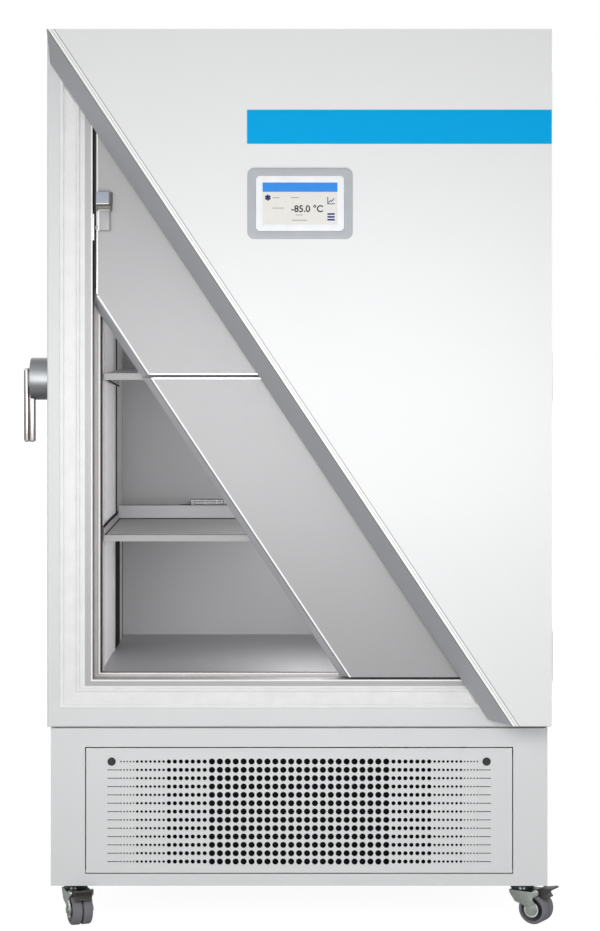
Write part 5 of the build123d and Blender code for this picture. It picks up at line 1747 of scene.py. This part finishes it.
@dataclass(frozen=True)
class Handle:
    """Turned boss on the cabinet's side and the ridged lever that turns in it."""

    nose_radius: float = 22.0 * MM
    nose_depth: float = 4.0 * MM
    corner: float = 2.0 * MM
    ridge: float = 10.4 * MM
    width: float = 23.4 * MM
    high_ridge_drop: float = 27.7 * MM
    rounding: float = 4.2 * MM
    web_half: float = 5.0 * MM
    web_inset: float = 4.0 * MM
    shaft_radius: float = 8.0 * MM
    groove_half: float = 1.6 * MM
    groove_depth: float = 4.2 * MM
    shade_inset: float = 5.0 * MM
    shade_depth: float = 5.6 * MM

    def build(self) -> None:
        """Make the boss and the lever."""
        boss = Extent.of("handle_boss")
        self.turn_boss(boss)
        self.shape_lever(Extent.of("handle_lever"), boss)

    def turn_boss(self, boss: Extent) -> None:
        """Turned boss: a drum with a small round shoulder and a shallow cone down to its nose.

        Args:
            boss: The boss's extent.
        """
        radius = boss.z.length / 2
        length = boss.x.length
        shoulder = length - self.nose_depth - self.corner
        profile = [(0.0, 0.0), (0.0, radius)]
        for step in range(7):
            turn = math.radians(80.0) * step / 6
            profile.append((shoulder + self.corner * math.sin(turn),
                            radius - self.corner * (1.0 - math.cos(turn))))
        profile += [(length - 0.4 * MM, self.nose_radius), (length, self.nose_radius - 0.8 * MM),
                    (length, 9.0 * MM), (length - 6.0 * MM, 8.4 * MM), (length - 6.0 * MM, 0.0)]
        form = Form()
        form.lathe(profile, (boss.x.high, boss.y.middle, boss.z.middle), (-1.0, 0.0, 0.0), 72)
        # The boss's steel carries painted shade at its top and foot and a painted highlight across its
        # middle.
        form.piece("lever_boss", HANDLE_STEEL, "cabinet", "handle_metal", ("handle_boss",))

    def shape_lever(self, lever: Extent, boss: Extent) -> None:
        """Two rounded ridges side by side, the outer one running up past the boss, with painted shade in the
        groove between them and along their sides.

        Args:
            lever: The lever's extent.
            boss: The boss's extent.
        """
        left = lever.x.low
        high = boss.z.middle - self.high_ridge_drop
        form = Form()
        outer = form.block((left, lever.y.low, lever.z.low), (left + self.ridge, lever.y.high, lever.z.high))
        form.soften(outer, self.rounding, 4)
        right = left + self.width
        inner = form.block((left + self.ridge, lever.y.low, lever.z.low), (right, lever.y.high, high))
        form.soften(inner, self.rounding, 4)
        seam, inset = left + self.ridge, self.web_inset
        web = form.block((seam - self.web_half, lever.y.low + inset, lever.z.low + inset),
                         (seam + self.web_half, lever.y.high - inset, high - inset))
        form.soften(web, 1.0 * MM, 1)
        form.rod((seam - 2.0 * MM, boss.y.middle, boss.z.middle),
                 (boss.x.low + 5.0 * MM, boss.y.middle, boss.z.middle), self.shaft_radius, 32)
        form.piece("door_lever", LEVER_STEEL, "handle", "handle_metal", ("handle_lever",))
        # Dark blocks in the groove between the ridges and along the outer ridge's left side: painted shade.
        dark = Form()
        foot = lever.z.low + self.shade_inset
        y = lever.y.low
        dark.block((seam - self.groove_half, y + 1.0 * MM, foot),
                   (seam + self.groove_half, y + self.groove_depth, high))
        dark.block((left, y + 0.5 * MM, foot),
                   (left + 2.6 * MM, y + self.shade_depth, lever.z.high - self.shade_inset))
        dark.piece("lever_groove_shade", GROOVE_SHADE, "handle", "handle_metal")
        shade = Form()
        shade.block((right - 3.6 * MM, y + 0.3 * MM, foot),
                    (right, y + self.shade_depth, high - self.shade_inset))
        shade.piece("lever_shade", OLIVE_SHADE, "handle", "handle_metal")


# Grille


class HoleGrade(Enum):
    """The grades of hole from the middle out: columns on a side, pitch, diameter and sides."""

    LARGE = (11, 17.54 * MM, 13.7 * MM, 24)
    MEDIUM = (7, 13.2 * MM, 9.5 * MM, 18)
    SMALL = (7, 9.72 * MM, 6.1 * MM, 12)
    TINY = (5, 7.05 * MM, 3.8 * MM, 10)


@dataclass(frozen=True)
class Grille:
    """Perforated panel whose holes shrink towards its ends, with slots beyond them and two locks."""

    centre: float
    rows: int = 13
    row_pitch: float = 18.45 * MM
    row_rise: float = 24.8 * MM
    grade_starts: tuple[float, float, float] = (209.0 * MM, 300.0 * MM, 366.3 * MM)
    slots: Span = Span(397.5 * MM, 424.7 * MM)
    slot_height: float = 1.8 * MM
    lock_offset: float = 415.0 * MM
    shaft_hole: float = 4.4 * MM
    sheet: float = 2.0 * MM

    def build(self) -> None:
        """Make the panel and its locks."""
        panel = Extent.of("grille_panel")
        self.punch_panel(panel)
        for side, name in ((-1, "left"), (1, "right")):
            self.make_lock(name, side)

    def columns(self) -> list[tuple[float, HoleGrade]]:
        """Each column of holes on the right half.

        Returns:
            Each column's offset from the middle, and its grade.
        """
        count, pitch, _, _ = HoleGrade.LARGE.value
        found = [(index * pitch, HoleGrade.LARGE) for index in range(1, count + 1)]
        for start, grade in zip(self.grade_starts, (HoleGrade.MEDIUM, HoleGrade.SMALL, HoleGrade.TINY)):
            count, pitch, _, _ = grade.value
            found += [(start + index * pitch, grade) for index in range(count)]
        return found

    def punch_panel(self, panel: Extent) -> None:
        """Lay out the sheet's cells, punch the holes and fold the ends.

        Args:
            panel: The panel's extent.
        """
        half = self.columns()
        line = [(-offset, grade) for offset, grade in reversed(half)] + [(0.0, HoleGrade.LARGE)] + half
        marks = [(first[0] + second[0]) / 2 for first, second in zip(line, line[1:])]
        slot_start = (half[-1][0] + self.slots.low) / 2
        slot_end = self.slots.high + 4.0 * MM
        columns = [panel.x.low, self.centre - slot_end, self.centre - slot_start]
        columns += [self.centre + mark for mark in marks]
        columns += [self.centre + slot_start, self.centre + slot_end, panel.x.high]
        row_low = panel.z.low + self.row_rise
        first_row = row_low - self.row_pitch / 2
        lines = [first_row + self.row_pitch * index for index in range(self.rows + 1)]
        rows = [panel.z.low, *lines, panel.z.high]
        holes: dict[tuple[int, int], tuple[Opening, float, float]] = {}
        for row in range(self.rows):
            z = row_low + row * self.row_pitch
            for index, (offset, grade) in enumerate(line):
                _, _, diameter, sides = grade.value
                hole = Opening(diameter / 2, diameter / 2, sides)
                holes[(index + 2, row + 1)] = (hole, self.centre + offset, z)
            top_row = row == self.rows - 1
            for column, side in ((1, -1), (len(line) + 2, 1)):
                opening = (Opening(self.shaft_hole, self.shaft_hole, 16) if top_row
                           else Opening(self.slots.length / 2, self.slot_height / 2))
                offset = self.lock_offset if top_row else self.slots.middle
                holes[(column, row + 1)] = (opening, self.centre + side * offset, z)
        sheet = Sheet(columns, rows)
        sheet.fill(holes)
        sheet.thicken(Span(panel.y.low, panel.y.low + self.sheet))
        for x in (panel.x.low, panel.x.high - self.sheet):
            sheet.block((x, panel.y.low + self.sheet, panel.z.low),
                        (x + self.sheet, panel.y.high, panel.z.high))
        sheet.piece("grille_sheet", WHITE_PAINT, "grille_door", "white_paint", ("grille_panel",))

    def make_lock(self, name: str, side: int) -> None:
        """Round black lock head with a ring groove in its face, on its shaft and wings.

        Args:
            name: Which lock.
            side: -1 on the left, 1 on the right.
        """
        box = Extent.of(f"grille_lock_{name}")
        radius = box.z.length / 2
        x, z = self.centre + side * self.lock_offset, box.z.middle
        front, sheet_front = box.y.low, box.y.low + 1.5 * MM
        form = Form()
        profile = [(0.0, 0.0), (0.0, radius * 0.35), (0.35 * MM, radius * 0.42), (0.05 * MM, radius * 0.5),
                   (0.05 * MM, radius - 0.8 * MM), (0.8 * MM, radius), (1.5 * MM, radius), (1.5 * MM, 0.0)]
        form.lathe(profile, (x, front, z), (0.0, 1.0, 0.0), 40)
        form.rod((x, sheet_front, z), (x, box.y.high - 3.0 * MM, z), 4.0 * MM, 20)
        wings = form.block((box.x.low, box.y.high - 3.0 * MM, z - 4.0 * MM),
                           (box.x.high, box.y.high, z + 4.0 * MM))
        form.soften(wings, 1.0 * MM, 2)
        node = f"grille_lock_{name}"
        form.piece(f"lock_{name}", HUB_PLASTIC, node, "black_plastic", (node,))


# Castors


@dataclass(frozen=True)
class Castor:
    """Twin-tread swivel castor, drawn with its wheel ahead of the swivel and turned to its heading."""

    name: str
    swivel: tuple[float, float]
    heading: float
    braked: bool
    wheel_radius: float = 33.5 * MM
    half_width: float = 23.5 * MM
    trail: float = 34.0 * MM
    groove: float = 3.4 * MM
    hub_radius: float = 25.0 * MM
    crown: float = 70.0 * MM
    pivot: tuple[float, float] = (-46.0 * MM, 72.0 * MM)
    pin_land: float = 7.0 * MM
    race_radius: float = 26.4 * MM
    race_height: float = 12.0 * MM
    fork_half: float = 27.5 * MM
    leg: float = 3.0 * MM
    eye: float = 13.5 * MM
    washer: tuple[float, float] = (10.0 * MM, 1.2 * MM)
    nut: tuple[float, float] = (7.5 * MM, 3.0 * MM)
    disc_radius: float = 17.5 * MM
    axle_radius: float = 5.0 * MM
    crown_front: float = 20.0 * MM
    race_bore: float = 20.0 * MM
    rivets: tuple[float, float] = (-7.0 * MM, 1.0 * MM)
    pedal_half: float = 20.0 * MM
    pedal_side: tuple[tuple[float, float], ...] = (
        (4.0, 5.0), (-31.0, 12.0), (-35.0, 11.0), (-35.0, 8.0), (-19.0, 4.0), (-16.0, -5.0),
        (-22.0, -12.0), (-20.0, -14.0), (-11.0, -9.0), (4.0, -5.0))

    def build(self) -> None:
        """Make the wheel, the fork, the race and the brake."""
        self.make_wheel()
        self.make_hubs()
        self.make_fork()
        self.make_race()
        if self.braked:
            self.make_brake()

    def settle(self, form: Form) -> None:
        """Turn the castor to its heading and set it under its plate.

        Args:
            form: The form to place.
        """
        turn = Matrix.Rotation(math.radians(self.heading), 4, "Z")
        place = Matrix.Translation((*self.swivel, 0.0)) @ turn
        bmesh.ops.transform(form.bm, matrix=place, verts=form.bm.verts)

    def make_wheel(self) -> None:
        """Two rubber treads with a groove between them."""
        form = Form()
        radius, half, hub = self.wheel_radius, self.half_width, self.hub_radius
        inner = self.groove / 2
        for side in (-1, 1):
            profile = [(inner, hub - 3.0 * MM), (inner, radius - 1.5 * MM), (inner + 2.0 * MM, radius),
                       (half - 5.0 * MM, radius), (half - 2.2 * MM, radius - 1.2 * MM),
                       (half - 0.6 * MM, radius - 4.0 * MM), (half - 0.6 * MM, hub + 1.5 * MM),
                       (half - 3.2 * MM, hub + 0.4 * MM), (half - 3.2 * MM, hub - 3.0 * MM),
                       (inner, hub - 3.0 * MM)]
            form.lathe(profile, (0.0, -self.trail, radius), (side, 0.0, 0.0), 56)
        self.settle(form)
        form.piece(f"treads_{self.name}", TREAD_RUBBER, f"castor_wheel_{self.name}", "wheel_grey",
                   (f"castor_wheel_{self.name}",))

    def make_hubs(self) -> None:
        """Dark hub that carries both treads, dished on its faces."""
        form = Form()
        half, hub, bore = self.half_width, self.hub_radius, 5.3 * MM
        inner = self.groove / 2
        right = [(half, bore), (half, 12.0 * MM), (half - 4.5 * MM, 13.5 * MM),
                 (half - 4.5 * MM, hub - 6.5 * MM), (half - 2.4 * MM, hub - 4.5 * MM),
                 (half - 1.4 * MM, hub - 1.0 * MM), (half - 2.2 * MM, hub + 0.2 * MM),
                 (half - 3.0 * MM, hub - 3.0 * MM), (inner, hub - 3.0 * MM), (inner, hub + 4.0 * MM)]
        left = [(-x, radius) for x, radius in reversed(right)]
        form.lathe(left + right + [left[0]], (0.0, -self.trail, self.wheel_radius), (1.0, 0.0, 0.0), 48)
        self.settle(form)
        form.piece(f"hub_{self.name}", HUB_PLASTIC, f"castor_wheel_{self.name}", "black_plastic")

    def leg_outline(self) -> list[tuple[float, float]]:
        """Side of the fork's leg, round its eye, up to the pedal's pin and along the crown.

        Returns:
            Depth and height of each corner.
        """
        axle, crown = self.wheel_radius, self.crown
        pin_y, pin_z = self.pivot
        top = crown + self.leg
        points = [(self.crown_front, top), (19.0 * MM, crown - 4.0 * MM), (6.0 * MM, crown - 22.0 * MM),
                  (-self.trail + self.eye + 4.0 * MM, axle + 8.0 * MM)]
        for step in range(13):
            turn = math.radians(15.0 - 200.0 * step / 12)
            points.append((-self.trail + self.eye * math.cos(turn), axle + self.eye * math.sin(turn)))
        points += [(-self.trail - 9.0 * MM, axle + 14.0 * MM), (-self.trail - 4.0 * MM, axle + 22.0 * MM),
                   (-self.trail - 6.0 * MM, crown - 9.0 * MM)]
        for step in range(7):
            turn = math.radians(250.0 - 170.0 * step / 6)
            points.append((pin_y + self.pin_land * math.cos(turn), pin_z + self.pin_land * math.sin(turn)))
        points.append((pin_y + 10.0 * MM, top))
        return points

    def make_fork(self) -> None:
        """Pressed fork with legs, crown and axle nuts, and a bright disc inside each leg."""
        form, discs = Form(), Form()
        low, axle = -self.trail, self.wheel_radius
        for side in (-1, 1):
            face = side * (self.fork_half - self.leg)
            leg = form.plate([(face, y, z) for y, z in self.leg_outline()], (side * self.leg, 0.0, 0.0))
            form.soften([vert for vert in leg if abs(vert.co.x) > self.fork_half - MM], 0.8 * MM, 2)
            outside, (washer, step), (nut, reach) = side * self.fork_half, self.washer, self.nut
            form.rod((outside, low, axle), (outside + side * step, low, axle), washer, 32)
            form.rod((outside + side * step, low, axle), (outside + side * reach, low, axle), nut, 6)
            inner = side * (self.half_width + 0.1 * MM)
            discs.rod((inner, low, axle), (inner + side * 0.8 * MM, low, axle), self.disc_radius, 40)
        crown = form.block((-self.fork_half, low, self.crown),
                           (self.fork_half, self.crown_front, self.crown + self.leg))
        form.soften(crown, 1.2 * MM, 2)
        form.rod((-self.fork_half, low, axle), (self.fork_half, low, axle), self.axle_radius, 24)
        for made, name, finish in ((form, "fork", ZINC), (discs, "axle_discs", BRIGHT_EDGE)):
            self.settle(made)
            made.piece(f"{name}_{self.name}", finish, f"castor_fork_{self.name}", "zinc",
                       (f"castor_fork_{self.name}",) if name == "fork" else ())

    def make_race(self) -> None:
        """Dark race that the fork turns in, with two rivets at its front painted white as highlights."""
        x, y = self.swivel
        race = Form()
        low = self.crown + 3.2 * MM
        tall, radius, rim = self.race_height, self.race_radius, self.race_radius - 1.8 * MM
        profile = [(0.0, self.race_bore), (0.0, rim), (1.6 * MM, radius), (tall - 1.6 * MM, radius),
                   (tall, rim), (tall, self.race_bore), (0.0, self.race_bore)]
        race.lathe(profile, (x, y, low), (0.0, 0.0, 1.0), 48)
        race.piece(f"race_{self.name}", RACE_STEEL, "cabinet", "black_paint")
        # The rivets are painted white as highlights.
        rivets = Form()
        front, z = y - radius, low + 4.4 * MM
        for across in self.rivets:
            rivets.rod((x + across, front + 1.0 * MM, z), (x + across, front - 1.4 * MM, z),
                       3.2 * MM, 16, 1.8 * MM)
        rivets.piece(f"race_rivet_highlights_{self.name}", LINE_WHITE, "cabinet", "zinc")

    def make_brake(self) -> None:
        """Moulded brake hood over the wheel, with its shoe and toe tab."""
        form = Form()
        half = self.pedal_half
        pivot_y, pivot_z = self.pivot
        hood = form.plate([(-half, pivot_y + y * MM, pivot_z + z * MM) for y, z in self.pedal_side],
                          (2 * half, 0.0, 0.0))
        form.soften(hood, 1.4 * MM, 2)
        self.settle(form)
        body = f"brake_pedal_{self.name}"
        form.piece(f"brake_{self.name}", BRAKE_PLASTIC, body, "black_plastic", (body,))


def castors(joints: Sequence[dict]) -> list[Castor]:
    """The four castors, placed from their swivel joints.

    Args:
        joints: The frame's joints.

    Returns:
        One castor for each swivel.
    """
    places = {joint["name"]: joint for joint in joints}
    made = []
    for name in ("front_left", "front_right", "rear_left", "rear_right"):
        x, y, _ = places[f"{name}_swivel"]["pos_m"]
        axle = places[f"{name}_roll"]["pos_m"]
        heading = math.degrees(math.atan2(axle[0] - x, y - axle[1]))
        made.append(Castor(name, (x, y), heading, name.startswith("front")))
    return made


# Whole freezer


def main() -> None:
    """Build the whole visual model in order."""
    logging.basicConfig(level=logging.INFO, format="%(name)s: %(message)s")
    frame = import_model()
    nodes = frame["nodes"]
    centre = Extent.of("cabinet_shell").x.middle
    Studio().build(centre)
    coat_frame(nodes)
    OuterDoor(centre).build(nodes)
    Display().build()
    InnerDoors().build(nodes)
    Chamber(centre).build()
    Handle().build()
    Grille(centre).build()
    for castor in castors(frame["joints"]):
        castor.build()


if __name__ == "__main__":
    main()
